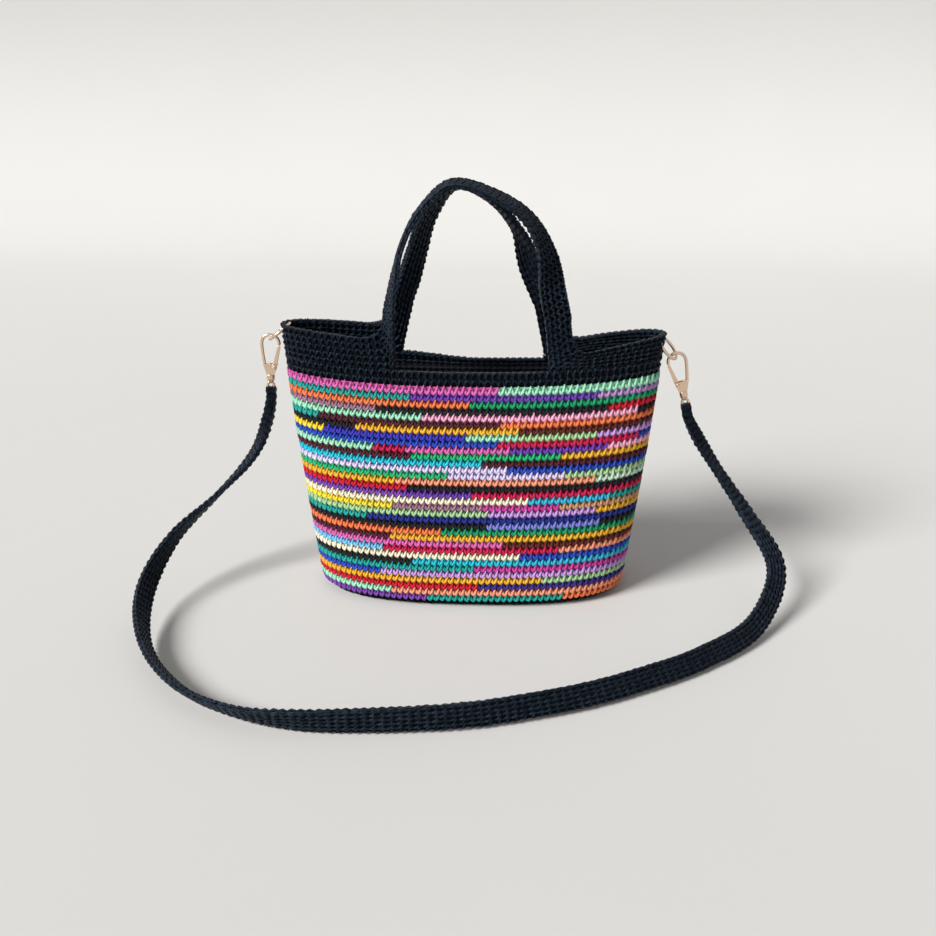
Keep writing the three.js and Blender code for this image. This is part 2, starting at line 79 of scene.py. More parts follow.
class Side(Enum):
    """An end of the bag, with the turn about +Z that brings a right-hand piece to it."""

    LEFT = 180.0
    RIGHT = 0.0

    @property
    def label(self) -> str:
        """The side's name as it stands in the names of pieces and bodies."""
        return self.name.lower()


class Face(Enum):
    """The wall that a handle belongs to, with the way it looks along Y."""

    FRONT = -1
    BACK = 1


class Stitch(Enum):
    """The kinds of loop that the fabric shows."""

    VEE = 0
    BAR = 1
    CHAIN = 2
    ARCH = 3

    @property
    def label(self) -> str:
        """The name of the loop's input on the node tree."""
        return self.name.title()


class Yarn(Enum):
    """The yarns of the striped wall, as sRGB colours."""

    PINK = "#d765ad"
    MINT = "#9fe0bd"
    TEAL = "#1f9f95"
    VIOLET = "#6a3aa8"
    LILAC = "#b48bc4"
    ORANGE = "#ee7a48"
    EMERALD = "#149662"
    MAUVE = "#9c6f88"
    BLACK = "#17151c"
    RED = "#c8142f"
    LIGHT_PINK = "#f2abc9"
    MAROON = "#4e1726"
    GOLD = "#eab02f"
    BROWN = "#5a231c"
    YELLOW = "#f3d733"
    VIOLET_BLUE = "#3b34b2"
    SAGE = "#a9cf97"
    LAVENDER = "#c497da"
    BLUE = "#2648b4"
    CRIMSON = "#c6184a"
    TURQUOISE = "#22bdd2"
    LILAC_WHITE = "#d9cdf0"
    GREEN = "#1fb070"
    SALMON = "#f29a78"
    PALE_MINT = "#cbe8cf"
    PURPLE = "#7a42a4"
    CREAM = "#f1e8cb"
    CYAN = "#36b4d6"
    MAGENTA = "#c43e97"
    TAN = "#c5946c"
    NAVY = "#1e2c84"
    PERIWINKLE = "#7a80d0"
    SKY = "#74c0e8"
    INDIGO = "#382b82"


# The striped rounds from the top down: the yarn at the front's left end, and then each change to
# another yarn with its place in millimetres from the bag's middle
ROUND_CHART = (
    ("PINK", (18, "MINT")),
    ("TEAL", (-42, "VIOLET"), (87, "LILAC")),
    ("ORANGE", (1, "EMERALD")),
    ("MAUVE", (-65, "BLACK"), (94, "RED")),
    ("MINT", (-33, "LIGHT_PINK"), (116, "BLACK")),
    ("TEAL", (-109, "MAROON"), (19, "ORANGE")),
    ("BLACK", (-79, "GOLD"), (32, "BROWN")),
    ("YELLOW", (-104, "VIOLET_BLUE"), (-4, "MINT"), (32, "SAGE"), (87, "LAVENDER")),
    ("BLUE", (20, "CRIMSON"), (116, "BLUE")),
    ("MINT", (-67, "CRIMSON"), (-44, "PINK"), (29, "VIOLET"), (95, "LIGHT_PINK")),
    ("MAROON", (-44, "GREEN"), (61, "GOLD")),
    ("TURQUOISE", (8, "MAROON")),
    ("LILAC_WHITE", (26, "BLUE")),
    ("GREEN", (-18, "LILAC_WHITE"), (67, "SAGE")),
    ("GOLD", (-55, "SALMON"), (88, "PALE_MINT")),
    ("RED", (-44, "BLACK")),
    ("PURPLE", (-50, "VIOLET"), (2, "CRIMSON")),
    ("CREAM", (40, "CYAN"), (97, "TEAL")),
    ("YELLOW", (-55, "MAUVE"), (7, "MAGENTA"), (63, "TAN")),
    ("SAGE", (10, "LAVENDER"), (89, "GOLD")),
    ("TEAL", (-73, "NAVY")),
    ("BLACK", (13, "PERIWINKLE"), (93, "BLACK")),
    ("ORANGE", (-21, "EMERALD")),
    ("MAROON", (-56, "GOLD")),
    ("PINK", (21, "BROWN")),
    ("SKY", (-64, "CRIMSON"), (63, "SALMON")),
    ("CREAM", (37, "BLUE")),
    ("BLACK", (-40, "TURQUOISE"), (36, "CYAN")),
    ("TEAL", (2, "MAGENTA")),
    ("BLUE", (-66, "LAVENDER")),
    ("GOLD", (49, "SAGE")),
    ("RED", (5, "INDIGO")),
    ("MINT", (-57, "SALMON")),
    ("PURPLE", (-31, "TEAL"), (66, "ORANGE")),
)


def linear(code: str) -> tuple[float, float, float, float]:
    """Turn an sRGB hex colour to linear light.

    Args:
        code: the colour, such as "#15171c".

    Returns:
        Its red, green and blue in linear light, and an alpha of 1.
    """
    channels = [int(code[at:at + 2], 16) / 255 for at in (1, 3, 5)]
    lit = [c / 12.92 if c <= 0.04045 else ((c + 0.055) / 1.055) ** 2.4 for c in channels]
    return lit[0], lit[1], lit[2], 1.0


def unit(vectors: Array) -> Array:
    """Scale vectors, one to a row, to length 1."""
    return vectors / np.maximum(np.linalg.norm(vectors, axis=-1, keepdims=True), TINY)


def square_to(vectors: Array, along: Array) -> Array:
    """Take from vectors, one to a row, what runs along unit vectors."""
    return vectors - np.sum(vectors * along, axis=1, keepdims=True) * along


def run_of(line: Array) -> Array:
    """The way a closed line runs at each of its points."""
    return np.roll(line, -1, axis=0) - np.roll(line, 1, axis=0)


def round_angles(count: int) -> Array:
    """Angles spaced evenly once round, in radians."""
    return np.linspace(0, 2 * math.pi, count, endpoint=False)


def rotation(degrees: float, axis: str) -> Matrix:
    """A turn about one axis."""
    return Matrix.Rotation(math.radians(degrees), 4, axis)


def moved(points: Array, place: Matrix) -> Array:
    """Take points, one to a row, through a placing."""
    turn = np.array(place)
    return np.asarray(points, float) @ turn[:3, :3].T + turn[:3, 3]


def smooth_share(value: Array, low: float, high: float) -> Array:
    """Rise smoothly from 0 at one value to 1 at another.

    Args:
        value: the values to look at.
        low: where the rise starts.
        high: where it ends.

    Returns:
        The share, from 0 to 1, at each value.
    """
    share = np.clip((np.asarray(value, float) - low) / (high - low), 0, 1)
    return share * share * (3 - 2 * share)


def cubic(start: Array, end: Array, lead: Array, trail: Array, share: Array) -> Array:
    """Follow cubics between values, with the slope at each end, at shares of the way."""
    square = 3 * end - 3 * start - 2 * lead - trail
    return (((2 * start - 2 * end + lead + trail) * share + square) * share + lead) * share + start


def spline(points: Array, shares: Array) -> Array:
    """Follow a centripetal Catmull-Rom curve.

    Args:
        points: the points that the curve passes through, one to a row.
        shares: places along the curve, from 0 to 1.

    Returns:
        The curve's point at each place.
    """
    padded = np.vstack([2 * points[0] - points[1], points, 2 * points[-1] - points[-2]])
    place = shares * (len(points) - 1)
    first = np.minimum(place.astype(int), len(points) - 2)
    weight = (place - first)[:, None]
    p0, p1, p2, p3 = (padded[first + k] for k in range(4))
    d0, d1, d2 = (
        np.sqrt(np.linalg.norm(b - a, axis=1, keepdims=True))
        for a, b in ((p0, p1), (p1, p2), (p2, p3))
    )
    d1 = np.where(d1 < SAME_POINT, 1.0, d1)
    d0, d2 = (np.where(d < SAME_POINT, d1, d) for d in (d0, d2))
    lead = d1 * ((p1 - p0) / d0 - (p2 - p0) / (d0 + d1) + (p2 - p1) / d1)
    trail = d1 * ((p2 - p1) / d1 - (p3 - p1) / (d1 + d2) + (p3 - p2) / d2)
    return cubic(p1, p2, lead, trail, weight)


def eased(values: Array, shares: Array) -> Array:
    """Follow a uniform Catmull-Rom curve through single values.

    Args:
        values: the values that it passes through.
        shares: places along it, from 0 to 1.

    Returns:
        The value at each place.
    """
    padded = np.concatenate([values[:1], values, values[-1:]])
    place = shares * (len(values) - 1)
    first = np.minimum(place.astype(int), len(values) - 2)
    p0, p1, p2, p3 = (padded[first + k] for k in range(4))
    return cubic(p1, p2, (p2 - p0) / 2, (p3 - p1) / 2, place - first)


def distances(line: Array, closed: bool = False) -> Array:
    """Measure how far along a line each of its points lies.

    Args:
        line: the line's points, one to a row.
        closed: whether the line runs on from its last point to its first.

    Returns:
        A distance for each point, and on a closed line one more for the way back to the first.
    """
    points = np.vstack([line, line[:1]]) if closed else line
    steps = np.linalg.norm(np.diff(points, axis=0), axis=1)
    return np.concatenate([[0.0], np.cumsum(steps)])


def line_length(line: Array, closed: bool = False) -> float:
    """Measure a line of points, open or closed."""
    return float(distances(line, closed)[-1])


def even_places(line: Array, count: int, closed: bool, shift: float = 0.0) -> Array:
    """Find places spaced evenly along a line.

    Args:
        line: the line's points, one to a row.
        count: how many places to find.
        closed: whether the line runs on from its last point to its first.
        shift: how far the places are moved along, in spaces.

    Returns:
        The places, as fractional numbers of rows.
    """
    run = distances(line, closed)
    wanted = (np.arange(count) + 0.5 + shift) * (run[-1] / count)
    return np.interp(np.mod(wanted, run[-1]), run, np.arange(len(run)))


def at_places(values: Array, places: Array) -> Array:
    """Read rows between rows, running on from the last to the first.

    Args:
        values: the rows.
        places: fractional numbers of rows.

    Returns:
        The row at each place.
    """
    low = np.floor(places).astype(int)
    weight = (places - low)[:, None]
    return values[low % len(values)] * (1 - weight) + values[(low + 1) % len(values)] * weight


def feed(tree: NodeTree, node: Node, inputs: dict[str | int, object]) -> None:
    """Set a node's inputs.

    Args:
        tree: the node's tree.
        node: the node.
        inputs: by an input's name or number, its value or the output that feeds it.
    """
    for key, value in inputs.items():
        if isinstance(value, NodeSocket):
            tree.links.new(value, node.inputs[key])
        else:
            node.inputs[key].default_value = value


def add_node(
    tree: NodeTree,
    kind: str,
    inputs: dict[str | int, object] | None = None,
    **settings: object,
) -> Node:
    """Add a node to a tree.

    Args:
        tree: the tree.
        kind: the node's type.
        inputs: by an input's name or number, its value or the output that feeds it.
        settings: the node's own properties.

    Returns:
        The node.
    """
    node = tree.nodes.new(kind)
    for name, value in settings.items():
        setattr(node, name, value)
    feed(tree, node, inputs or {})
    return node


def add_math(tree: NodeTree, operation: str, *values: NodeSocket | float) -> NodeSocket:
    """Add a sum of some kind to a tree and give its result."""
    inputs = dict(enumerate(values))
    return add_node(tree, "ShaderNodeMath", inputs, operation=operation).outputs[0]


def add_cloud(tree: NodeTree, grain: float, detail: float) -> NodeSocket:
    """Add a cloudy unevenness to a material.

    Args:
        tree: the material's tree.
        grain: how large its patches are.
        detail: how many finer patches lie within them.

    Returns:
        The cloud's value, from 0 to 1.
    """
    place = add_node(tree, "ShaderNodeTexCoord")
    cloud = add_node(
        tree, "ShaderNodeTexNoise",
        {"Vector": place.outputs["Object"], "Scale": 1 / (grain * MM), "Detail": detail},
    )
    return cloud.outputs["Fac"]


def make_finish(name: str) -> tuple[Material, NodeTree]:
    """Make a plain material to build on.

    Args:
        name: its name.

    Returns:
        The material and its node tree.
    """
    paint = bpy.data.materials.new(name)
    paint.use_nodes = True
    return paint, paint.node_tree


def make_object(name: str, points: Array, faces: Sequence[Sequence[int]]) -> Object:
    """Make a smooth mesh object from points in millimetres.

    Args:
        name: the object's name.
        points: the points, one to a row.
        faces: each face's point numbers.

    Returns:
        The object, linked to the scene.
    """
    mesh = bpy.data.meshes.new(name)
    mesh.from_pydata((np.asarray(points, float) * MM).tolist(), [], [list(face) for face in faces])
    mesh.shade_smooth()
    thing = bpy.data.objects.new(name, mesh)
    bpy.context.scene.collection.objects.link(thing)
    return thing


@dataclass
class Shell:
    """Points and faces that grow into one mesh. What adds to it returns it for the next form."""

    points: list[Array] = field(default_factory=list)
    faces: list[tuple[int, ...]] = field(default_factory=list)
    count: int = 0

    def add(self, points: Array, faces: Sequence[Sequence[int]]) -> Self:
        """Add a group of points and the faces between them.

        Args:
            points: the points, one to a row.
            faces: each face's point numbers, counted within the group.

        Returns:
            This shell.
        """
        self.faces += [tuple(self.count + corner for corner in face) for face in faces]
        self.points.append(np.asarray(points, float))
        self.count += len(points)
        return self

    def loft(self, rings: Array, looped: bool = False, capped: bool = False) -> Self:
        """Add a skin through rings of points.

        Args:
            rings: the rings, by ring, point and axis; each ring is closed.
            looped: whether the last ring meets the first.
            capped: whether the first and last rings are closed by a face.

        Returns:
            This shell.
        """
        total, sides = rings.shape[:2]
        faces: list[tuple[int, ...]] = []
        for i in range(total if looped else total - 1):
            here, there = i * sides, ((i + 1) % total) * sides
            for k in range(sides):
                after = (k + 1) % sides
                faces.append((here + k, here + after, there + after, there + k))
        if capped:
            faces.append(tuple(reversed(range(sides))))
            faces.append(tuple((total - 1) * sides + k for k in range(sides)))
        return self.add(rings.reshape(-1, 3), faces)

    def tube(self, line: Array, radii: Array, sides: int, looped: bool = False) -> Self:
        """Add a round wire along a line that lies in the XZ plane.

        Args:
            line: the wire's middle, one point to a row.
            radii: its radius at each point.
            sides: how many sides its section has.
            looped: whether the wire closes on itself.

        Returns:
            This shell.
        """
        along = unit(run_of(line) if looped else np.gradient(line, axis=0))
        across = np.array([0.0, 1.0, 0.0])
        out = np.cross(along, across)
        turn = round_angles(sides)[None, :, None]
        ring = np.cos(turn) * out[:, None] + np.sin(turn) * across
        return self.loft(line[:, None] + radii[:, None, None] * ring, looped, capped=not looped)

    def turned(self, profile: Sequence[Pair], sides: int) -> Self:
        """Add a turned form about +Z.

        Args:
            profile: radius and height along its outline, open on the axis at both ends.
            sides: how many sides it has.

        Returns:
            This shell.
        """
        turn = round_angles(sides)
        rings = [
            np.stack([r * np.cos(turn), r * np.sin(turn), np.full(sides, z)], axis=1)
            for r, z in profile
        ]
        return self.loft(np.stack(rings), capped=True)

    def slab(self, outline: Sequence[Pair], thickness: float) -> Self:
        """Add a flat outline in the XZ plane, given thickness about it along Y.

        Args:
            outline: its corners, as x and z.
            thickness: how thick it is.

        Returns:
            This shell.
        """
        sheet = np.array([(x, 0.0, z) for x, z in outline])
        offset = np.array([0.0, thickness / 2, 0.0])
        return self.loft(np.stack([sheet - offset, sheet + offset]), capped=True)

    def build(self, name: str, place: Matrix | None = None) -> Object:
        """Make the mesh object, with its faces turned outwards.

        Args:
            name: the object's name.
            place: where it goes, if it was drawn somewhere else.

        Returns:
            The object.
        """
        points = np.vstack(self.points)
        thing = make_object(name, points if place is None else moved(points, place), self.faces)
        work = bmesh.new()
        work.from_mesh(thing.data)
        bmesh.ops.recalc_face_normals(work, faces=work.faces)
        work.to_mesh(thing.data)
        work.free()
        return thing


def settle(thing: Object) -> None:
    """Apply an object's modifiers, so that its mesh holds their result.

    Args:
        thing: the object.
    """
    depsgraph = bpy.context.evaluated_depsgraph_get()
    mesh = bpy.data.meshes.new_from_object(thing.evaluated_get(depsgraph))
    thing.modifiers.clear()
    plain = thing.data
    thing.data = mesh
    bpy.data.meshes.remove(plain)
    mesh.name = thing.name


def discard(thing: Object) -> None:
    """Remove an object that was only a means to another, with its mesh.

    Args:
        thing: the object.
    """
    mesh = thing.data
    bpy.data.objects.remove(thing)
    bpy.data.meshes.remove(mesh)


def cut(thing: Object, tool: Object) -> None:
    """Cut a tool's shape out of a piece, and use up the tool.

    Args:
        thing: the piece.
        tool: what is cut away.
    """
    cutter = thing.modifiers.new("cut", "BOOLEAN")
    cutter.operation = "DIFFERENCE"
    cutter.solver = "EXACT"
    cutter.object = tool
    settle(thing)
    discard(tool)


def join(thing: Object, other: Object) -> None:
    """Add another object's mesh to a piece, and use up that object.

    Args:
        thing: the piece.
        other: what is added.
    """
    work = bmesh.new()
    work.from_mesh(thing.data)
    work.from_mesh(other.data)
    work.to_mesh(thing.data)
    work.free()
    discard(other)


def keep_sharp(thing: Object, angle: float) -> None:
    """Keep a piece's edges crisp where they turn by more than an angle in degrees."""
    thing.data.set_sharp_from_angle(angle=math.radians(angle))


def declare(thing: Object, body: str, node: str) -> Object:
    """Put a finished piece on its body and hide the solid that it stands for.

    Args:
        thing: the piece.
        body: the body that it moves with.
        node: the solid that it replaces.

    Returns:
        The piece.
    """
    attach(thing, body)
    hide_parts(node)
    log.info("%s: %d faces on %s", thing.name, len(thing.data.polygons), body)
    return thing


@dataclass(frozen=True)
class SpunYarn:
    """Mercerised cotton yarn, plied from a few strands and worked tight: soft, with a low sheen.

    The colour of each loop comes with its mesh. The plies show as slanting ridges along a leg,
    about a millimetre apart.
    """

    name: str = "mercerised_cotton_yarn"
    roughness: float = 0.6
    specular: float = 0.2
    sheen: float = 0.05
    sheen_roughness: float = 0.4
    glint: str = "#ffffff"
    ply_turns: float = 3.0
    ply_slant: float = 1.4
    ply_depth: float = 0.00022
    ply_strength: float = 0.6
    shade_size: float = 2.6
    shade_detail: float = 2.0
    shade_span: Pair = (0.3, 0.7)
    shade_low: float = 0.88
    shade_high: float = 1.2

    def material(self) -> Material:
        """Make the material.

        Returns:
            The material, which reads the colour attribute and the loop's own UV map.
        """
        paint, tree = make_finish(self.name)
        colour = add_node(tree, "ShaderNodeAttribute", attribute_name=YARN_LAYER)
        tinted = add_node(
            tree, "ShaderNodeMix",
            {"Factor": 1.0, MIX_A: colour.outputs["Color"], MIX_B: self.shade(tree)},
            data_type="RGBA", blend_type="MULTIPLY",
        )
        feed(tree, tree.nodes[SHADER], {
            "Base Color": tinted.outputs[MIX_RESULT],
            "Normal": self.plies(tree),
            "Roughness": self.roughness,
            "Specular IOR Level": self.specular,
            "Specular Tint": linear(self.glint),
            "Sheen Weight": self.sheen,
            "Sheen Roughness": self.sheen_roughness,
        })
        return paint

    def shade(self, tree: NodeTree) -> NodeSocket:
        """Add the uneven take-up of dye along the yarn; on the black cord, whose span is wide, it
        also paints glints that stand for highlights on the loops.

        Args:
            tree: the material's tree.

        Returns:
            A grey that the yarn's colour is multiplied by.
        """
        low, high = self.shade_span
        span = add_node(
            tree, "ShaderNodeMapRange",
            {"Value": add_cloud(tree, self.shade_size, self.shade_detail),
             "From Min": low, "From Max": high,
             "To Min": self.shade_low, "To Max": self.shade_high},
        )
        return span.outputs["Result"]

    def plies(self, tree: NodeTree) -> NodeSocket:
        """Add the ridges of the twisted plies along each leg of a loop.

        Args:
            tree: the material's tree.

        Returns:
            The normal with the ridges in it.
        """
        chart = add_node(tree, "ShaderNodeUVMap", uv_map=LEG_LAYER)
        strip = add_node(tree, "ShaderNodeSeparateXYZ", {"Vector": chart.outputs["UV"]})
        x, y = strip.outputs["X"], strip.outputs["Y"]
        slanted = add_math(tree, "MULTIPLY_ADD", y, self.ply_slant, x)
        turns = add_math(tree, "MULTIPLY", slanted, 2 * math.pi * self.ply_turns)
        ridge = add_math(tree, "SINE", turns)
        bump = add_node(
            tree, "ShaderNodeBump",
            {"Height": ridge, "Distance": self.ply_depth, "Strength": self.ply_strength},
        )
        return bump.outputs["Normal"]


@dataclass(frozen=True)
class BlackCord(SpunYarn):
    """Spun polyester bag cord, dyed black: smooth filaments with a small blue-grey glint."""

    name: str = "black_polyester_cord"
    roughness: float = 0.32
    specular: float = 0.13
    sheen: float = 0.0
    glint: str = "#cfe2ff"
    shade_size: float = 2.2
    # Random tone, and painted glints: the bright specks stand for highlights on the cord's loops
    shade_low: float = 0.15
    shade_high: float = 4.2


CORD_COLOUR = linear("#10161d")
# Share of the cord's colour left on the fabric behind its loops: a painted shade for the shadow
# between the loops
CORD_CORE_PAINTED_SHADE = 0.12


@dataclass(frozen=True)
class PlatedMetal:
    """Zinc alloy, die cast and polished, with a thin plating: bright, with faint handling haze."""

    name: str
    colour: str
    roughness: Pair
    grain: float
    detail: float = 4.0
    dent: float = 0.00003

    def material(self) -> Material:
        """Make the material.

        Returns:
            The material, whose roughness drifts with the haze and whose surface is finely uneven.
        """
        paint, tree = make_finish(self.name)
        haze = add_cloud(tree, self.grain, self.detail)
        low, high = self.roughness
        rough = add_node(tree, "ShaderNodeMapRange", {"Value": haze, "To Min": low, "To Max": high})
        bump = add_node(tree, "ShaderNodeBump", {"Height": haze, "Distance": self.dent})
        feed(tree, tree.nodes[SHADER], {
            "Base Color": linear(self.colour),
            "Metallic": 1.0,
            "Roughness": rough.outputs["Result"],
            "Normal": bump.outputs["Normal"],
        })
        return paint


ROSE_GOLD = PlatedMetal("rose_gold_plating", "#e2c6ad", (0.12, 0.26), 2.5)
SPRING_STEEL = PlatedMetal("bare_spring_steel", "#b9bcc2", (0.25, 0.45), 0.6)


@dataclass(frozen=True)
class MattPaper:
    """The sweep's matt paper, with a faint unevenness in broad clouds."""

    name: str = "matt_paper"
    colour: str = "#d6d4d0"
    dim: float = 0.96
    grain: float = 1000 / 3
    detail: float = 3.0
    roughness: float = 0.9

    def material(self) -> Material:
        """Make the material.

        Returns:
            The material.
        """
        paint, tree = make_finish(self.name)
        pale = linear(self.colour)
        dimmed = tuple(self.dim * value for value in pale[:3]) + (1.0,)
        cloud = add_cloud(tree, self.grain, self.detail)
        mixed = add_node(
            tree, "ShaderNodeMix", {"Factor": cloud, MIX_A: dimmed, MIX_B: pale}, data_type="RGBA",
        )
        feed(tree, tree.nodes[SHADER], {
            "Base Color": mixed.outputs[MIX_RESULT], "Roughness": self.roughness,
        })
        return paint


# What each loop's anchor carries: a layer, its type and the key of its values
ANCHOR_LAYERS = (
    ("stitch_out", "FLOAT_VECTOR", "vector"),
    ("stitch_along", "FLOAT_VECTOR", "vector"),
    ("stitch_size", "FLOAT_VECTOR", "vector"),
    (YARN_LAYER, "FLOAT_COLOR", "color"),
    ("stitch_kind", "INT", "value"),
)


def loop_sizes(*sizes: Array | float) -> Array:
    """Put loops' sizes along, across and off the fabric side by side, one loop to a row."""
    return np.stack(np.broadcast_arrays(*sizes), axis=1)


@dataclass
class StitchRows:
    """The places where loops are worked, gathered row by row."""

    rows: list[tuple[Array, ...]] = field(default_factory=list)

    def add(
        self,
        stitch: Stitch,
        places: Array,
        out: Array,
        along: Array,
        size: Array | Sequence[float],
        yarn: Array | Sequence[float] = CORD_COLOUR,
    ) -> None:
        """Add one row.

        Args:
            stitch: the kind of loop.
            places: where each loop sits.
            out: the way it looks.
            along: the way the row runs.
            size: its size along, across and off the fabric, as shares of the drawn loop.
            yarn: its colour in linear light.
        """
        count = len(places)
        self.rows.append((
            places,
            unit(out),
            unit(along),
            np.broadcast_to(size, (count, 3)),
            np.broadcast_to(yarn, (count, 4)),
            np.full(count, stitch.value),
        ))

    def add_closed(
        self,
        stitch: Stitch,
        line: Array,
        out: Array | Sequence[float],
        along: Array,
        size: Array | Sequence[float],
        pitch: float,
        shift: float = 0.0,
    ) -> None:
        """Add one row of cord, spaced evenly along a closed line.

        Args:
            stitch: the kind of loop.
            line: the line's points, one to a row.
            out: the way the loops look, at each point or everywhere.
            along: the way the row runs at each point.
            size: the loops' size, at each point or everywhere.
            pitch: the room that a loop takes up.
            shift: how far the row is worked on from its start, in loops.
        """
        places = even_places(line, round(line_length(line, True) / pitch), True, shift)
        spread = (np.broadcast_to(values, line.shape) for values in (line, out, along, size))
        self.add(stitch, *(at_places(values, places) for values in spread))

    def anchors(self, name: str) -> Object:
        """Make a mesh of bare points that carry what each loop needs.

        Args:
            name: the object's name.

        Returns:
            The object.
        """
        places, *columns = (np.concatenate(column) for column in zip(*self.rows))
        thing = make_object(name, places, [])
        for (layer, kind, key), values in zip(ANCHOR_LAYERS, columns):
            thing.data.attributes.new(layer, kind, "POINT").data.foreach_set(key, values.ravel())
        return thing


# Each kind of loop as it is drawn, leg by leg: stations with x along the row, y up it, z off the
# fabric and the strand's radius
LOOP_LEGS = {
    Stitch.VEE: (
        ((0.1, -2.2, 0.4, 1.15), (-1.2, -0.9, 0.75, 1.25), (-1.85, 1.0, 0.1, 0.9)),
        ((-0.2, -2.2, 0.45, 1.15), (0.95, -0.9, 0.9, 1.3), (1.7, 1.1, 1.05, 0.85),
         (2.4, 3.7, 1.15, 0.52)),
    ),
    Stitch.BAR: (
        ((-2.6, -0.3, -0.3, 0.8), (-0.9, 0.25, 0.35, 1.0), (0.9, 0.25, 0.35, 1.0),
         (2.6, -0.3, -0.3, 0.8)),
        ((-0.5, -2.4, -0.1, 0.75), (0.35, -1.0, 0.15, 0.8), (0.7, 0.4, -0.1, 0.7)),
    ),
    Stitch.CHAIN: (
        ((-0.1, -2.6, 0.2, 0.7), (-1.2, -0.3, 0.55, 1.0), (-0.5, 2.4, 0.1, 0.7)),
        ((0.1, -2.6, 0.2, 0.7), (1.2, -0.3, 0.55, 1.0), (0.5, 2.4, 0.1, 0.7)),
    ),
    Stitch.ARCH: (
        ((-1.95, -2.3, -0.4, 0.6), (-1.95, -0.4, 0.1, 0.7), (-1.4, 1.1, 0.7, 0.85),
         (-0.2, 1.8, 0.75, 0.8)),
        ((1.95, -2.3, -0.5, 0.55), (1.95, -0.4, 0.0, 0.65), (1.4, 1.15, 0.65, 0.8),
         (0.3, 1.75, 0.65, 0.75)),
    ),
}


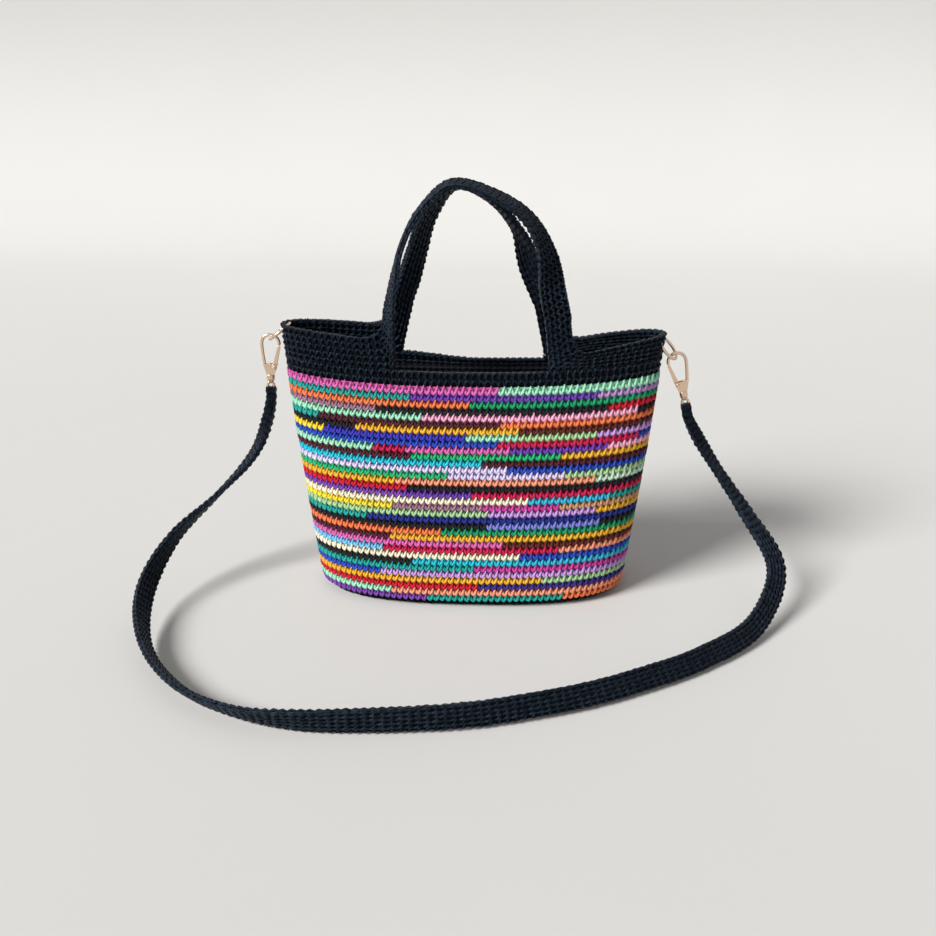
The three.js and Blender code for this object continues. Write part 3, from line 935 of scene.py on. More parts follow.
@dataclass
class CrochetHook:
    """Works loops over a fabric: the drawn loops, and the tree that sets one at every anchor."""

    pitch: float = 4.75
    row: float = 4.565
    half_ring: tuple[float, ...] = (-25.0, 45.0, 135.0, 205.0)
    looseness: float = math.radians(5)
    unevenness: float = 0.07
    loops: dict[Stitch, Object] = field(init=False)
    tree: NodeTree = field(init=False)

    def __post_init__(self) -> None:
        """Draw the loops and build the tree."""
        self.loops = {
            stitch: self.draw_loop(f"loop_{stitch.name.lower()}", legs)
            for stitch, legs in LOOP_LEGS.items()
        }
        self.tree = self.build_tree()

    def draw_loop(self, name: str, legs: Sequence[Sequence[Sequence[float]]]) -> Object:
        """Draw a loop's legs as half-round strands, sunk into the fabric, each with its UV strip.

        Args:
            name: the loop's name.
            legs: each leg's stations, as x along the row, y up, z off the fabric, and radius.

        Returns:
            The loop as an object.
        """
        shell = Shell()
        charts: list[Pair] = []
        turn = np.radians(self.half_ring)[None, :, None]
        sides = len(self.half_ring)
        for leg in legs:
            stations = np.array(leg)
            line, radii = stations[:, :3], stations[:, 3]
            along = unit(np.gradient(line, axis=0))
            across = unit(np.cross(along, [0.0, 0.0, 1.0]))
            lift = np.cross(across, along)
            ring = np.cos(turn) * across[:, None] + np.sin(turn) * lift[:, None]
            rings = line[:, None] + radii[:, None, None] * ring
            faces = []
            last = len(leg) - 1
            for i in range(last):
                for k in range(sides - 1):
                    here = i * sides + k
                    faces.append((here, here + 1, here + sides + 1, here + sides))
            shell.add(rings.reshape(-1, 3), faces)
            charts += [
                (i / last, k / (sides - 1)) for i in range(len(leg)) for k in range(sides)
            ]
        thing = make_object(name, np.vstack(shell.points), shell.faces)
        layer = thing.data.uv_layers.new(name=LEG_LAYER)
        for corner in thing.data.loops:
            layer.data[corner.index].uv = charts[corner.vertex_index]
        if thing.data.polygons[0].normal.z < 0:
            thing.data.flip_normals()
        return thing

    def build_tree(self) -> NodeTree:
        """Build the tree that works the loops.

        Returns:
            The tree, whose inputs are the loops, the fabric, the looseness, the unevenness, the
            seed and the finish.
        """
        tree = bpy.data.node_groups.new("worked_loops", "GeometryNodeTree")
        tree.is_modifier = True
        kinds = {"Geometry": "Geometry"} | {stitch.label: "Object" for stitch in Stitch} | {
            "Fabric": "Object", "Looseness": "Float", "Unevenness": "Float", "Seed": "Int",
            "Finish": "Material",
        }
        for name, kind in kinds.items():
            tree.interface.new_socket(name, in_out="INPUT", socket_type=f"NodeSocket{kind}")
        tree.interface.new_socket("Geometry", in_out="OUTPUT", socket_type="NodeSocketGeometry")
        given = add_node(tree, "NodeGroupInput").outputs
        turn, size = self.add_stance(tree, given)
        joined = add_node(tree, "GeometryNodeJoinGeometry")
        fabric = add_node(tree, "GeometryNodeObjectInfo", {"Object": given["Fabric"]})
        tree.links.new(fabric.outputs["Geometry"], joined.inputs[0])
        kind = add_node(
            tree, "GeometryNodeInputNamedAttribute", {"Name": "stitch_kind"}, data_type="INT",
        )
        for stitch in Stitch:
            loop = add_node(
                tree, "GeometryNodeObjectInfo",
                {"Object": given[stitch.label], "As Instance": True},
            )
            chosen = add_node(
                tree, "FunctionNodeCompare",
                {COMPARE_A: kind.outputs["Attribute"], COMPARE_B: stitch.value},
                data_type="INT", operation="EQUAL",
            )
            worked = add_node(
                tree, "GeometryNodeInstanceOnPoints",
                {"Points": given["Geometry"], "Selection": chosen.outputs[0],
                 "Instance": loop.outputs["Geometry"], "Rotation": turn, "Scale": size},
            )
            tree.links.new(worked.outputs["Instances"], joined.inputs[0])
        plain = add_node(tree, "GeometryNodeRealizeInstances", {"Geometry": joined.outputs[0]})
        dressed = add_node(
            tree, "GeometryNodeSetMaterial",
            {"Geometry": plain.outputs["Geometry"], "Material": given["Finish"]},
        )
        add_node(tree, "NodeGroupOutput", {"Geometry": dressed.outputs["Geometry"]})
        return tree

    def add_stance(self, tree: NodeTree, given: NodeOutputs) -> tuple[NodeSocket, NodeSocket]:
        """Add the nodes that stand each loop on the fabric, a little unevenly.

        Args:
            tree: the tree.
            given: the tree's inputs.

        Returns:
            Each loop's rotation and its scale.
        """
        out, along, size = (
            add_node(
                tree, "GeometryNodeInputNamedAttribute", {"Name": name}, data_type="FLOAT_VECTOR",
            ).outputs[0]
            for name in ("stitch_out", "stitch_along", "stitch_size")
        )
        stance = add_node(
            tree, "FunctionNodeAxesToRotation", {"Primary Axis": out, "Secondary Axis": along},
            primary_axis="Z", secondary_axis="X",
        )
        low = add_math(tree, "MULTIPLY", given["Looseness"], -1.0)
        swing = add_node(
            tree, "FunctionNodeRandomValue",
            {0: low, 1: given["Looseness"], "Seed": given["Seed"]},
            data_type="FLOAT_VECTOR",
        )
        tilt = add_node(tree, "FunctionNodeEulerToRotation", {"Euler": swing.outputs[0]})
        turn = add_node(
            tree, "FunctionNodeRotateRotation",
            {"Rotation": stance.outputs[0], "Rotate By": tilt.outputs[0]}, rotation_space="LOCAL",
        )
        least, most = (
            add_math(tree, way, 1.0, given["Unevenness"]) for way in ("SUBTRACT", "ADD")
        )
        swell = add_node(
            tree, "FunctionNodeRandomValue",
            {0: least, 1: most, "Seed": given["Seed"]},
            data_type="FLOAT_VECTOR",
        )
        grown = add_node(
            tree, "ShaderNodeVectorMath", {0: size, 1: swell.outputs[0]}, operation="MULTIPLY",
        )
        return turn.outputs[0], grown.outputs[0]

    def work(
        self,
        name: str,
        rows: StitchRows,
        fabric: Object,
        finish: Material,
        seed: int,
    ) -> Object:
        """Work every loop of a piece and join them to its fabric.

        Args:
            name: the piece's name.
            rows: the places of its loops.
            fabric: the plain fabric under them, which is used up.
            finish: the piece's material.
            seed: the number that its unevenness grows from.

        Returns:
            The piece, as a plain mesh.
        """
        thing = rows.anchors(name)
        worked = thing.modifiers.new("loops", "NODES")
        worked.node_group = self.tree
        values = {stitch.label: loop for stitch, loop in self.loops.items()}
        values |= {
            "Fabric": fabric, "Looseness": self.looseness, "Unevenness": self.unevenness,
            "Seed": seed, "Finish": finish,
        }
        for socket in self.tree.interface.items_tree:
            if socket.in_out == "INPUT" and socket.name in values:
                worked[socket.identifier] = values[socket.name]
        settle(thing)
        carried = thing.data.attributes
        for layer, _, _ in ANCHOR_LAYERS:
            if layer != YARN_LAYER and layer in carried:
                carried.remove(carried[layer])
        discard(fabric)
        return thing

    def put_away(self) -> None:
        """Remove the drawn loops once every piece is worked."""
        for loop in self.loops.values():
            discard(loop)


def dye(
    thing: Object,
    colours: Array | Sequence[float] = CORD_COLOUR,
    shade: float = CORD_CORE_PAINTED_SHADE,
) -> None:
    """Give each point of a plain fabric its yarn's colour, darkened by a painted shade for the
    loops' shadow.

    Args:
        thing: the fabric.
        colours: a colour for each point, or one for all.
        shade: how much of the colour is left under the painted shade.
    """
    count = len(thing.data.vertices)
    # Painted shade: the fabric's colour is darkened where it shows between the loops
    shaded = np.broadcast_to(np.array(colours) * (shade, shade, shade, 1), (count, 4))
    layer = thing.data.attributes.new(YARN_LAYER, "FLOAT_COLOR", "POINT")
    layer.data.foreach_set("color", np.ascontiguousarray(shaded).ravel())
    thing.data.uv_layers.new(name=LEG_LAYER)


OVAL_ANGLES = round_angles(1440)


@dataclass(frozen=True)
class BagOutline:
    """The rounded oval of the bag at each level, with rounds that rise towards its ends."""

    base_half: Pair = (115.5, 52.3)
    rim_half: Pair = (135.0, 27.0)
    power: float = 2.6
    swell: float = 1.2
    rim_level: float = 194.0
    end_rise: float = 7.3
    end_rise_power: float = 2.2
    foot_tuck: float = 3.0
    foot_rise: float = 12.0
    rim_end: Pair = (199.5, 195.0)
    rim_sag: Pair = (5.0, 10.0)
    rim_sag_run: float = 57.0
    rim_sag_power: float = 1.2
    mouth_dip: float = 5.0
    dip_rise: Pair = (-55.0, 5.0)
    dip_fall: Pair = (55.0, 90.0)
    wall: float = 5.0
    loops: int = 124

    def halves(self, level: float) -> Pair:
        """Measure the oval at a level.

        Args:
            level: the level.

        Returns:
            Its half width and half depth.
        """
        share = min(1.0, level / self.rim_level)
        tuck = self.foot_tuck * max(0.0, 1 - level / self.foot_rise) ** 2
        bulge = self.swell * math.sin(math.pi * share)
        wide, deep = (a + (b - a) * share - tuck for a, b in zip(self.base_half, self.rim_half))
        return wide + bulge, deep

    def height(self, x: Array, level: float) -> Array:
        """Height of the round of some level at places across the bag."""
        share = np.abs(x) / self.halves(level)[0]
        return level + self.end_rise * (level / self.rim_level) * share**self.end_rise_power

    def points(self, angles: Array, level: float, inset: float) -> Array:
        """Follow the oval.

        Args:
            angles: angles round the oval, in radians.
            level: the round's level.
            inset: how far inside the outer face.

        Returns:
            A point for each angle.
        """
        x, y = (
            (half - inset) * np.sign(turn) * np.abs(turn) ** (2 / self.power)
            for half, turn in zip(self.halves(level), (np.cos(angles), np.sin(angles)))
        )
        return np.stack([x, y, self.height(x, level)], axis=1)

    def rim_height(self, x: Array) -> Array:
        """Find how high the rim stands.

        Args:
            x: places across the bag.

        Returns:
            The height at each place.
        """
        left = np.asarray(x) < 0
        share = np.maximum(0, (self.rim_half[0] - np.abs(x)) / self.rim_sag_run)
        sag = np.where(left, *self.rim_sag) * share**self.rim_sag_power
        return np.where(left, *self.rim_end) - sag

    def dip(self, points: Array) -> Array:
        """Find how far the edge below the back handle sags.

        Args:
            points: points on the wall.

        Returns:
            The sag at each point.
        """
        x, y = points[:, 0], points[:, 1]
        share = smooth_share(x, *self.dip_rise) * (1 - smooth_share(x, *self.dip_fall))
        return np.where(y > 0, self.mouth_dip * share, 0.0)

    def wall_middle(self, x: Array, level: float, face: Face) -> Array:
        """Find the middle of the fabric on one wall.

        Args:
            x: places across the bag.
            level: the round's level.
            face: the wall.

        Returns:
            A point for each place.
        """
        wide, deep = (half - self.wall / 2 for half in self.halves(level))
        share = np.abs(x) / wide
        y = face.value * deep * np.maximum(0, 1 - share**self.power) ** (1 / self.power)
        return np.stack([x, y, self.height(x, level)], axis=1)

    def round_at(
        self, level: float, inset: float, shift: float, sag: float = 0.0,
    ) -> tuple[Array, ...]:
        """Lay out one round of the wall.

        Args:
            level: the round's level.
            inset: how far inside the outer face its loops are anchored.
            shift: how far it is worked on from its start, in loops.
            sag: how much of the mouth's dip it follows, from 0 to 1.

        Returns:
            For each loop, its place, the way it looks and the way the round runs.
        """
        line = self.points(OVAL_ANGLES, level, inset)
        above = self.points(OVAL_ANGLES, level + 1, inset)
        along = run_of(line)
        out = unit(np.cross(along, above - line))
        line[:, 2] -= sag * self.dip(line)
        places = even_places(line, self.loops, True, shift)
        return tuple(at_places(rows, places) for rows in (line, out, along))


# A round's changes of yarn, as distances across the front and then the back, and its yarns
RoundYarns = tuple[list[float], list[tuple[float, ...]]]


@dataclass
class StripedWall:
    """The wall of the bag, worked round and round in thin stripes of many yarns."""

    outline: BagOutline
    bottom: float = 5.8
    top: float = 161.0
    anchor_inset: float = 1.8
    core: Pair = (2.2, 3.3)
    inner_core: Pair = (3.0, 3.9)
    rib_inset: float = 3.8
    # Painted shade: the wall's fabric keeps this share of each yarn's colour, for the shadow
    # between the loops
    core_shade: float = 0.85
    core_lap: float = 1.6
    core_lift: float = 0.3
    spread_level: float = 80.0
    back_changes: Pair = (15.0, 85.0)
    back_from: float = 1000.0
    # How many top rounds are black across the back: a painted shade for the dark inside under the
    # back cuff
    dark_backs: int = 3

    @property
    def step(self) -> float:
        """The height of a round."""
        return (self.top - self.bottom) / len(ROUND_CHART)

    def yarn_chart(self) -> list[RoundYarns]:
        """Work out each round's yarns once round the bag, from the front's left end.

        Returns:
            The rounds' yarns, from the top.
        """
        rng = np.random.default_rng(SEED)
        spare = list(Yarn)
        chart = []
        for number, (first, *changes) in enumerate(ROUND_CHART):
            extra = spare[rng.integers(len(spare))].name
            back = rng.uniform(*self.back_changes, size=2) * (1, -1)
            # Painted shade: the top rounds' backs are black, standing for the shadowed inside under
            # the back cuff
            if number < self.dark_backs:
                extra, back = Yarn.BLACK.name, np.array([1, -1]) * self.outline.rim_half[0]
            edges = [float(x) for x, _ in changes] + list(self.back_from - back)
            yarns = [first, *(name for _, name in changes), extra, first]
            chart.append((edges, [linear(Yarn[name].value) for name in yarns]))
        return chart

    def yarn_at(self, points: Array, round_yarns: RoundYarns) -> Array:
        """Look up the yarn at points of one round.

        Args:
            points: the points.
            round_yarns: the round's changes and yarns.

        Returns:
            A colour for each point.
        """
        edges, yarns = round_yarns
        x, y = points[:, 0], points[:, 1]
        distance = np.where(y <= 0, x, self.back_from - x)
        return np.array(yarns)[np.searchsorted(edges, distance)]

    def fabric(self, name: str, chart: list[RoundYarns], insets: Pair) -> Object:
        """Make a layer of plain fabric behind the loops.

        Args:
            name: the layer's name.
            chart: each round's yarns, from the top.
            insets: how far inside the outer face it starts and ends.

        Returns:
            The layer.
        """
        last = 2 * len(chart)
        line = self.outline.points(OVAL_ANGLES, self.spread_level, 0)
        angles = even_places(line, self.outline.loops, True) * OVAL_ANGLES[1]
        rings, colours = [], []
        for inset, numbers in zip(insets, (range(last + 1), range(last, -1, -1))):
            for k in numbers:
                level = self.bottom + max(k * self.step / 2, self.core_lift)
                level += self.core_lap if k == last else 0
                rings.append(self.outline.points(angles, level, inset))
                stripe = chart[max(0, len(chart) - 1 - k // 2)]
                colours.append(self.yarn_at(rings[-1], stripe))
        thing = Shell().loft(np.stack(rings), looped=True).build(name)
        # Painted shade on the fabric that shows between the loops
        dye(thing, np.concatenate(colours), self.core_shade)
        return thing

    def rows(
        self, hook: CrochetHook, chart: list[RoundYarns], stitch: Stitch, inset: float, way: int,
    ) -> StitchRows:
        """Lay out the loops of one face of the wall.

        Args:
            hook: what works them.
            chart: each round's yarns, from the top.
            stitch: the kind of loop.
            inset: how far inside the outer face they are anchored.
            way: 1 for the outer face, -1 for the inner.

        Returns:
            The rows of loops.
        """
        rows = StitchRows()
        for k, stripe in enumerate(reversed(chart)):
            level = self.bottom + (k + 0.5) * self.step
            places, out, along = self.outline.round_at(level, inset, ROUND_SHIFT * k)
            width = np.linalg.norm(np.diff(places, axis=0, append=places[:1]), axis=1)
            size = loop_sizes(width / hook.pitch, self.step / hook.row, 1.0)
            colour = self.yarn_at(places, stripe)
            rows.add(stitch, places, way * out, way * along, size, colour)
        return rows

    def dress(self, hook: CrochetHook, finish: Material) -> list[Object]:
        """Work the wall's loops, as its outer face and its ribbed inner face.

        Args:
            hook: what works them.
            finish: the wall's material.

        Returns:
            The two faces.
        """
        chart = self.yarn_chart()
        outer = self.rows(hook, chart, Stitch.VEE, self.anchor_inset, 1)
        inner = self.rows(hook, chart, Stitch.BAR, self.rib_inset, -1)
        fabric = self.fabric("wall_fabric", chart, self.core)
        lining = self.fabric("wall_lining", chart, self.inner_core)
        return [
            hook.work("striped_wall", outer, fabric, finish, SEED),
            hook.work("striped_wall_inside", inner, lining, finish, SEED),
        ]


@dataclass
class LoopedStrip:
    """The strip that runs once round the rim and over both handles, in rounds along its length."""

    outline: BagOutline
    opening: float = 52.5
    width: float = 19.0
    fillet: float = 9.0
    low: float = 171.1
    side_level: float = 172.0
    arch_steps: int = 120
    corner_steps: int = 24
    side_steps: int = 90
    front: Table = (
        (-55.0, -25.5, 210.5, 66), (-51.6, -22, 231, 76), (-46.5, -17.5, 253, 86),
        (-35, -13, 274.5, 85), (-14, -10.8, 292, 82), (13.5, -10.8, 285.5, 78),
        (36.5, -13, 270.8, 70), (48.5, -17, 249.8, 52), (53.5, -21, 225, 14),
        (57.5, -24.5, 208, 5),
    )
    back: Table = (
        (-51, 25, 211, 36), (-46, 23, 225, 34), (-39, 19, 246.5, 46), (-30.6, 13.5, 269.2, 58),
        (-12, 10.8, 289, 80), (11.5, 11, 281, 77), (30.5, 15, 259.8, 69), (40, 21, 235, 28),
        (52, 24.5, 209, 3),
    )

    def arch(self, stations: Sequence[Sequence[float]], face: Face) -> Array:
        """Follow one handle from its left leg to its right leg.

        Args:
            stations: points on the strip's middle, each with its roll in degrees.
            face: the wall that the handle belongs to.

        Returns:
            The strip's inner and outer edge at each step.
        """
        rows = np.array(stations, float)
        shares = np.linspace(0, 1, self.arch_steps + 1)
        middle = spline(rows[:, :3], shares)
        along = unit(np.gradient(middle, axis=0))
        roll = np.radians(eased(rows[:, 3], shares))[:, None]
        out = unit(square_to(np.array([0.0, face.value, 0.0]), along))
        inward = -face.value * np.cross(along, out)
        half = (np.cos(roll) * inward + np.sin(roll) * out) * self.width / 2
        return np.stack([middle + half, middle - half], axis=1)

    def corner(self, face: Face, opening_x: float, leg: Array) -> Array:
        """Turn from the side band up into a leg.

        Args:
            face: the wall.
            opening_x: where the opening ends.
            leg: the leg's inner and outer edge where it starts.

        Returns:
            The strip's inner and outer edge at each step.
        """
        outline = self.outline
        start_x = opening_x + math.copysign(self.width + self.fillet, opening_x)
        shares = np.linspace(0, 1, self.corner_steps, endpoint=False)
        posts = outline.wall_middle(np.array([start_x, leg[1, 0]]), outline.rim_level, face)
        posts[:, 2] = outline.rim_height(posts[:, 0])
        s = shares[:, None]
        rim = (1 - s) ** 2 * posts[0] + 2 * s * (1 - s) * posts[1] + s**2 * leg[1]
        x = start_x + (opening_x - start_x) * np.minimum(1, 2 * shares)
        along = outline.wall_middle(x, self.low, face)
        along[:, 2] -= outline.dip(along)
        rise = np.maximum(0, 2 * shares - 1)[:, None]
        return np.stack([along * (1 - rise) + leg[0] * rise, rim], axis=1)

    def side(self, turn: float) -> Array:
        """Follow the band round one end of the bag.

        Args:
            turn: the angle of that end, in radians.

        Returns:
            The strip's inner and outer edge at each step.
        """
        outline = self.outline
        half = outline.halves(self.side_level)[0] - outline.wall / 2
        reach = math.acos(((self.opening + self.width + self.fillet) / half) ** (outline.power / 2))
        angles = turn + np.linspace(-reach, reach, self.side_steps + 1)[1:-1]
        inner = outline.points(angles, self.low, outline.wall / 2)
        inner[:, 2] -= outline.dip(inner)
        outer = outline.points(angles, outline.rim_level, outline.wall / 2)
        outer[:, 2] = outline.rim_height(outer[:, 0])
        return np.stack([inner, outer], axis=1)

    def edges(self) -> Array:
        """Follow the strip once round: front handle, right end, back handle, left end.

        Returns:
            The strip's inner and outer edge at each step.
        """
        front = self.arch(self.front, Face.FRONT)
        back = self.arch(self.back, Face.BACK)
        return np.concatenate([
            self.corner(Face.FRONT, -self.opening, front[0]),
            front,
            self.corner(Face.FRONT, self.opening, front[-1])[::-1],
            self.side(0.0),
            self.corner(Face.BACK, self.opening, back[-1]),
            back[::-1],
            self.corner(Face.BACK, -self.opening, back[0])[::-1],
            self.side(math.pi),
        ])


@dataclass
class TopBand:
    """The plain band at the top of the bag, with both handles."""

    outline: BagOutline
    strip: LoopedStrip
    cuff_bottom: float = 161.3
    cuff_top: float = 172.0
    cuff_rounds: int = 2
    cuff_shares: tuple[float, ...] = (0.03, 0.5, 0.93)
    rounds: int = 5
    anchor_lift: float = 0.7
    core_lift: float = 0.45
    inner_lift: float = 1.2
    edge_inset: float = 1.5
    edge_loop: Triple = (0.95, 1.0, 0.8)
    mouth_loop: Triple = (1.0, 1.0, 0.8)
    arch_inset: float = 1.4
    arch_shift: float = 0.25
    rib_inset: float = 3.0
    rib_shift: float = 0.6
    core_lap: float = 1.0
    core_corner: float = 0.04
    core_skip: int = 5
    opening_slack: float = 0.01

    def cuff_fabric(self, shell: Shell) -> None:
        """Add the plain fabric of the rounds below the strip.

        Args:
            shell: what it is added to.
        """
        outline = self.outline
        faces = (
            (outline.wall / 2 - self.core_lift, self.cuff_shares),
            (outline.wall / 2 + self.inner_lift, self.cuff_shares[::-1]),
        )
        rings = []
        for inset, shares in faces:
            for share in shares:
                level = self.cuff_bottom + share * (self.cuff_top - self.cuff_bottom)
                ring = outline.points(OVAL_ANGLES[::self.core_skip], level, inset)
                ring[:, 2] -= share * outline.dip(ring)
                rings.append(ring)
        shell.loft(np.stack(rings), looped=True)

    def work_cuff(self, rows: StitchRows, hook: CrochetHook) -> None:
        """Add the rounds below the strip, and the edge they end in under each handle.

        Args:
            rows: the rows that they are added to.
            hook: what works them.
        """
        outline = self.outline
        middle = outline.wall / 2
        step = (self.cuff_top - self.cuff_bottom) / self.cuff_rounds
        faces = (
            (Stitch.ARCH, middle - self.anchor_lift, 1), (Stitch.BAR, middle + self.inner_lift, -1),
        )
        for k in range(self.cuff_rounds):
            level = self.cuff_bottom + (k + 0.5) * step
            sag = (k + 0.5) / self.cuff_rounds
            for stitch, inset, way in faces:
                places, out, along = outline.round_at(level, inset, ROUND_SHIFT * k, sag)
                tall = (step - outline.dip(places) / self.cuff_rounds) / hook.row
                rows.add(stitch, places, way * out, way * along, loop_sizes(1.0, tall, 1.0))
        places, out, _ = outline.round_at(self.cuff_top - self.edge_inset, middle, 0.0, 1.0)
        bare = np.abs(places[:, 0]) < self.strip.opening
        up = np.broadcast_to([0.0, 0.0, 1.0], out[bare].shape)
        rows.add(Stitch.CHAIN, places[bare], up, out[bare], self.mouth_loop)

    def sections(self) -> tuple[Array, Array, Array]:
        """Work out how the strip lies at each step.

        Returns:
            The strip's middle, the vector across it from rim to inner edge, and the way its outer
            face looks.
        """
        edges = self.strip.edges()
        middle = edges.mean(axis=1)
        across = edges[:, 0] - edges[:, 1]
        return middle, across, unit(np.cross(across, run_of(middle)))

    def strip_fabric(self, shell: Shell, middle: Array, across: Array, out: Array) -> None:
        """Add the strip's plain fabric.

        Args:
            shell: what it is added to.
            middle: the strip's middle.
            across: the vector across it.
            out: the way its outer face looks.
        """
        width = np.linalg.norm(across, axis=1, keepdims=True)
        joined = np.abs(middle + across / 2)[:, :1] > self.strip.opening + self.opening_slack
        rim = self.edge_inset / width - 0.5
        foot = 0.5 - np.where(joined, -self.core_lap, self.edge_inset) / width
        high, low = rim + self.core_corner, foot - self.core_corner
        corners = (
            (rim, 0.0), (high, self.core_lift), (low, self.core_lift),
            (foot, 0.0), (low, -self.inner_lift), (high, -self.inner_lift),
        )
        rings = [middle + share * across + lift * out for share, lift in corners]
        shell.loft(np.stack(rings, axis=1), looped=True)

    def work_strip(
        self,
        rows: StitchRows,
        hook: CrochetHook,
        middle: Array,
        across: Array,
        out: Array,
    ) -> None:
        """Add the strip's loops: rounds outside, ribs inside and a chain along each edge.

        Args:
            rows: the rows that they are added to.
            hook: what works them.
            middle: the strip's middle.
            across: the vector across it.
            out: the way its outer face looks.
        """
        width = np.linalg.norm(across, axis=1, keepdims=True)
        faces = (
            (Stitch.ARCH, self.arch_inset, self.arch_shift, self.anchor_lift, 1),
            (Stitch.BAR, self.rib_inset, self.rib_shift, self.inner_lift, -1),
        )
        for k in range(self.rounds):
            share = (k + 0.5) / self.rounds - 0.5
            for stitch, inset, shift, lift, way in faces:
                sideways = (share * (width - inset) - shift) / width
                line = middle + sideways * across + way * lift * out
                run = run_of(line)
                apart = np.linalg.norm(np.cross(across, unit(run)), axis=1)
                size = loop_sizes(1.0, apart / self.rounds / hook.row, 1.0)
                rows.add_closed(
                    stitch, line, way * out, way * run, size, hook.pitch, ROUND_SHIFT * k,
                )
        for way in (-1, 1):
            line = middle + way * (0.5 - self.edge_inset / width) * across
            away = square_to(way * across, unit(run_of(line)))
            rows.add_closed(Stitch.CHAIN, line, away, out, self.edge_loop, hook.pitch)

    def dress(self, hook: CrochetHook, finish: Material) -> Object:
        """Work the band and both handles.

        Args:
            hook: what works their loops.
            finish: the cord's material.

        Returns:
            The band with its handles.
        """
        rows, shell, lie = StitchRows(), Shell(), self.sections()
        self.cuff_fabric(shell)
        self.work_cuff(rows, hook)
        self.strip_fabric(shell, *lie)
        self.work_strip(rows, hook, *lie)
        fabric = shell.build("band_fabric")
        # Painted shade: the fabric takes the cord's colour, darkened for the shadow between the
        # loops
        dye(fabric)
        return hook.work("top_band_and_handles", rows, fabric, finish, SEED + 1)


@dataclass
class OvalBase:
    """The flat oval that the bag stands on, worked outwards in rounds."""

    outline: BagOutline
    thick: float = 5.5
    under_lift: float = 1.75
    top_drop: float = 1.2
    first_inset: float = 5.0
    step: float = 4.565
    least_depth: float = 2.0
    loop: Triple = (1.0, 1.0, 0.85)
    core_lift: float = 0.2
    core_insets: Pair = (3.0, 1.2)
    core_round: float = 0.8
    core_skip: int = 6

    def oval(self, angles: Array, inset: float, z: float) -> Array:
        """Follow the base's oval at one height.

        Args:
            angles: angles round the oval, in radians.
            inset: how far inside its edge.
            z: the height.

        Returns:
            A point for each angle.
        """
        line = self.outline.points(angles, 0.0, inset)
        line[:, 2] = z
        return line

    def fabric(self) -> Object:
        """Make the plain fabric behind the loops.

        Returns:
            The fabric.
        """
        low, high = self.under_lift + self.core_lift, self.thick - self.top_drop
        flat, edge = self.core_insets
        sections = (
            (flat, low), (edge, low + self.core_round),
            (edge, high - self.core_round), (flat, high),
        )
        rings = [self.oval(OVAL_ANGLES[::self.core_skip], inset, z) for inset, z in sections]
        thing = Shell().loft(np.stack(rings), capped=True).build("base_fabric")
        # Painted shade: the fabric takes the cord's colour, darkened for the shadow between the
        # loops
        dye(thing)
        return thing

    def dress(self, hook: CrochetHook, finish: Material) -> Object:
        """Work the base's rounds on its underside and inside.

        Args:
            hook: what works them.
            finish: the cord's material.

        Returns:
            The base.
        """
        rows = StitchRows()
        faces = (
            (Stitch.CHAIN, self.under_lift, -1), (Stitch.BAR, self.thick - self.top_drop, 1),
        )
        inset, shift = self.first_inset, 0.0
        while self.outline.halves(0.0)[1] - inset > self.least_depth:
            for stitch, z, way in faces:
                line = self.oval(OVAL_ANGLES, inset, z)
                up, run = (0.0, 0.0, float(way)), -way * run_of(line)
                rows.add_closed(stitch, line, up, run, self.loop, hook.pitch, shift)
            inset += self.step
            shift += ROUND_SHIFT
        return hook.work("worked_oval_base", rows, self.fabric(), finish, SEED + 2)


@dataclass
class SideRing:
    """A ring that passes in and out through the band below the rim, in its hanging pose."""

    side: Side
    hole_z: float
    reach: float
    droop: float
    roll: float
    outline: BagOutline
    radius: float = 9.0
    wire: float = 1.1
    steps: int = 72
    sides: int = 16

    def hole(self) -> Array:
        """The middle between the ring's two holes, for the right-hand end."""
        x = self.outline.halves(self.hole_z)[0] - self.outline.wall / 2
        return np.array([x, 0.0, self.hole_z])

    def hang(self) -> Array:
        """The lowest point of the ring's wire, where its hook hangs, for the right-hand end."""
        down, reach = math.radians(self.droop), self.reach + self.radius
        return self.hole() + reach * np.array([math.cos(down), 0.0, -math.sin(down)])

    def place(self) -> Matrix:
        """Work out where the flat ring goes.

        Returns:
            The placing: moved out, rolled, drooped, put in its holes and turned to its end.
        """
        hung = rotation(self.droop, "Y") @ rotation(self.roll, "X")
        out = Matrix.Translation((self.reach, 0, 0))
        return rotation(self.side.value, "Z") @ Matrix.Translation(self.hole()) @ hung @ out

    def dress(self, finish: Material) -> Object:
        """Make the ring as a smooth bent wire.

        Args:
            finish: its material.

        Returns:
            The ring.
        """
        turn = round_angles(self.steps)
        line = self.radius * np.stack([np.cos(turn), np.zeros(self.steps), np.sin(turn)], axis=1)
        shell = Shell().tube(line, np.full(self.steps, self.wire), self.sides, looped=True)
        thing = shell.build(f"ring_wire_{self.side.label}", self.place() @ rotation(90, "X"))
        thing.data.materials.append(finish)
        return thing


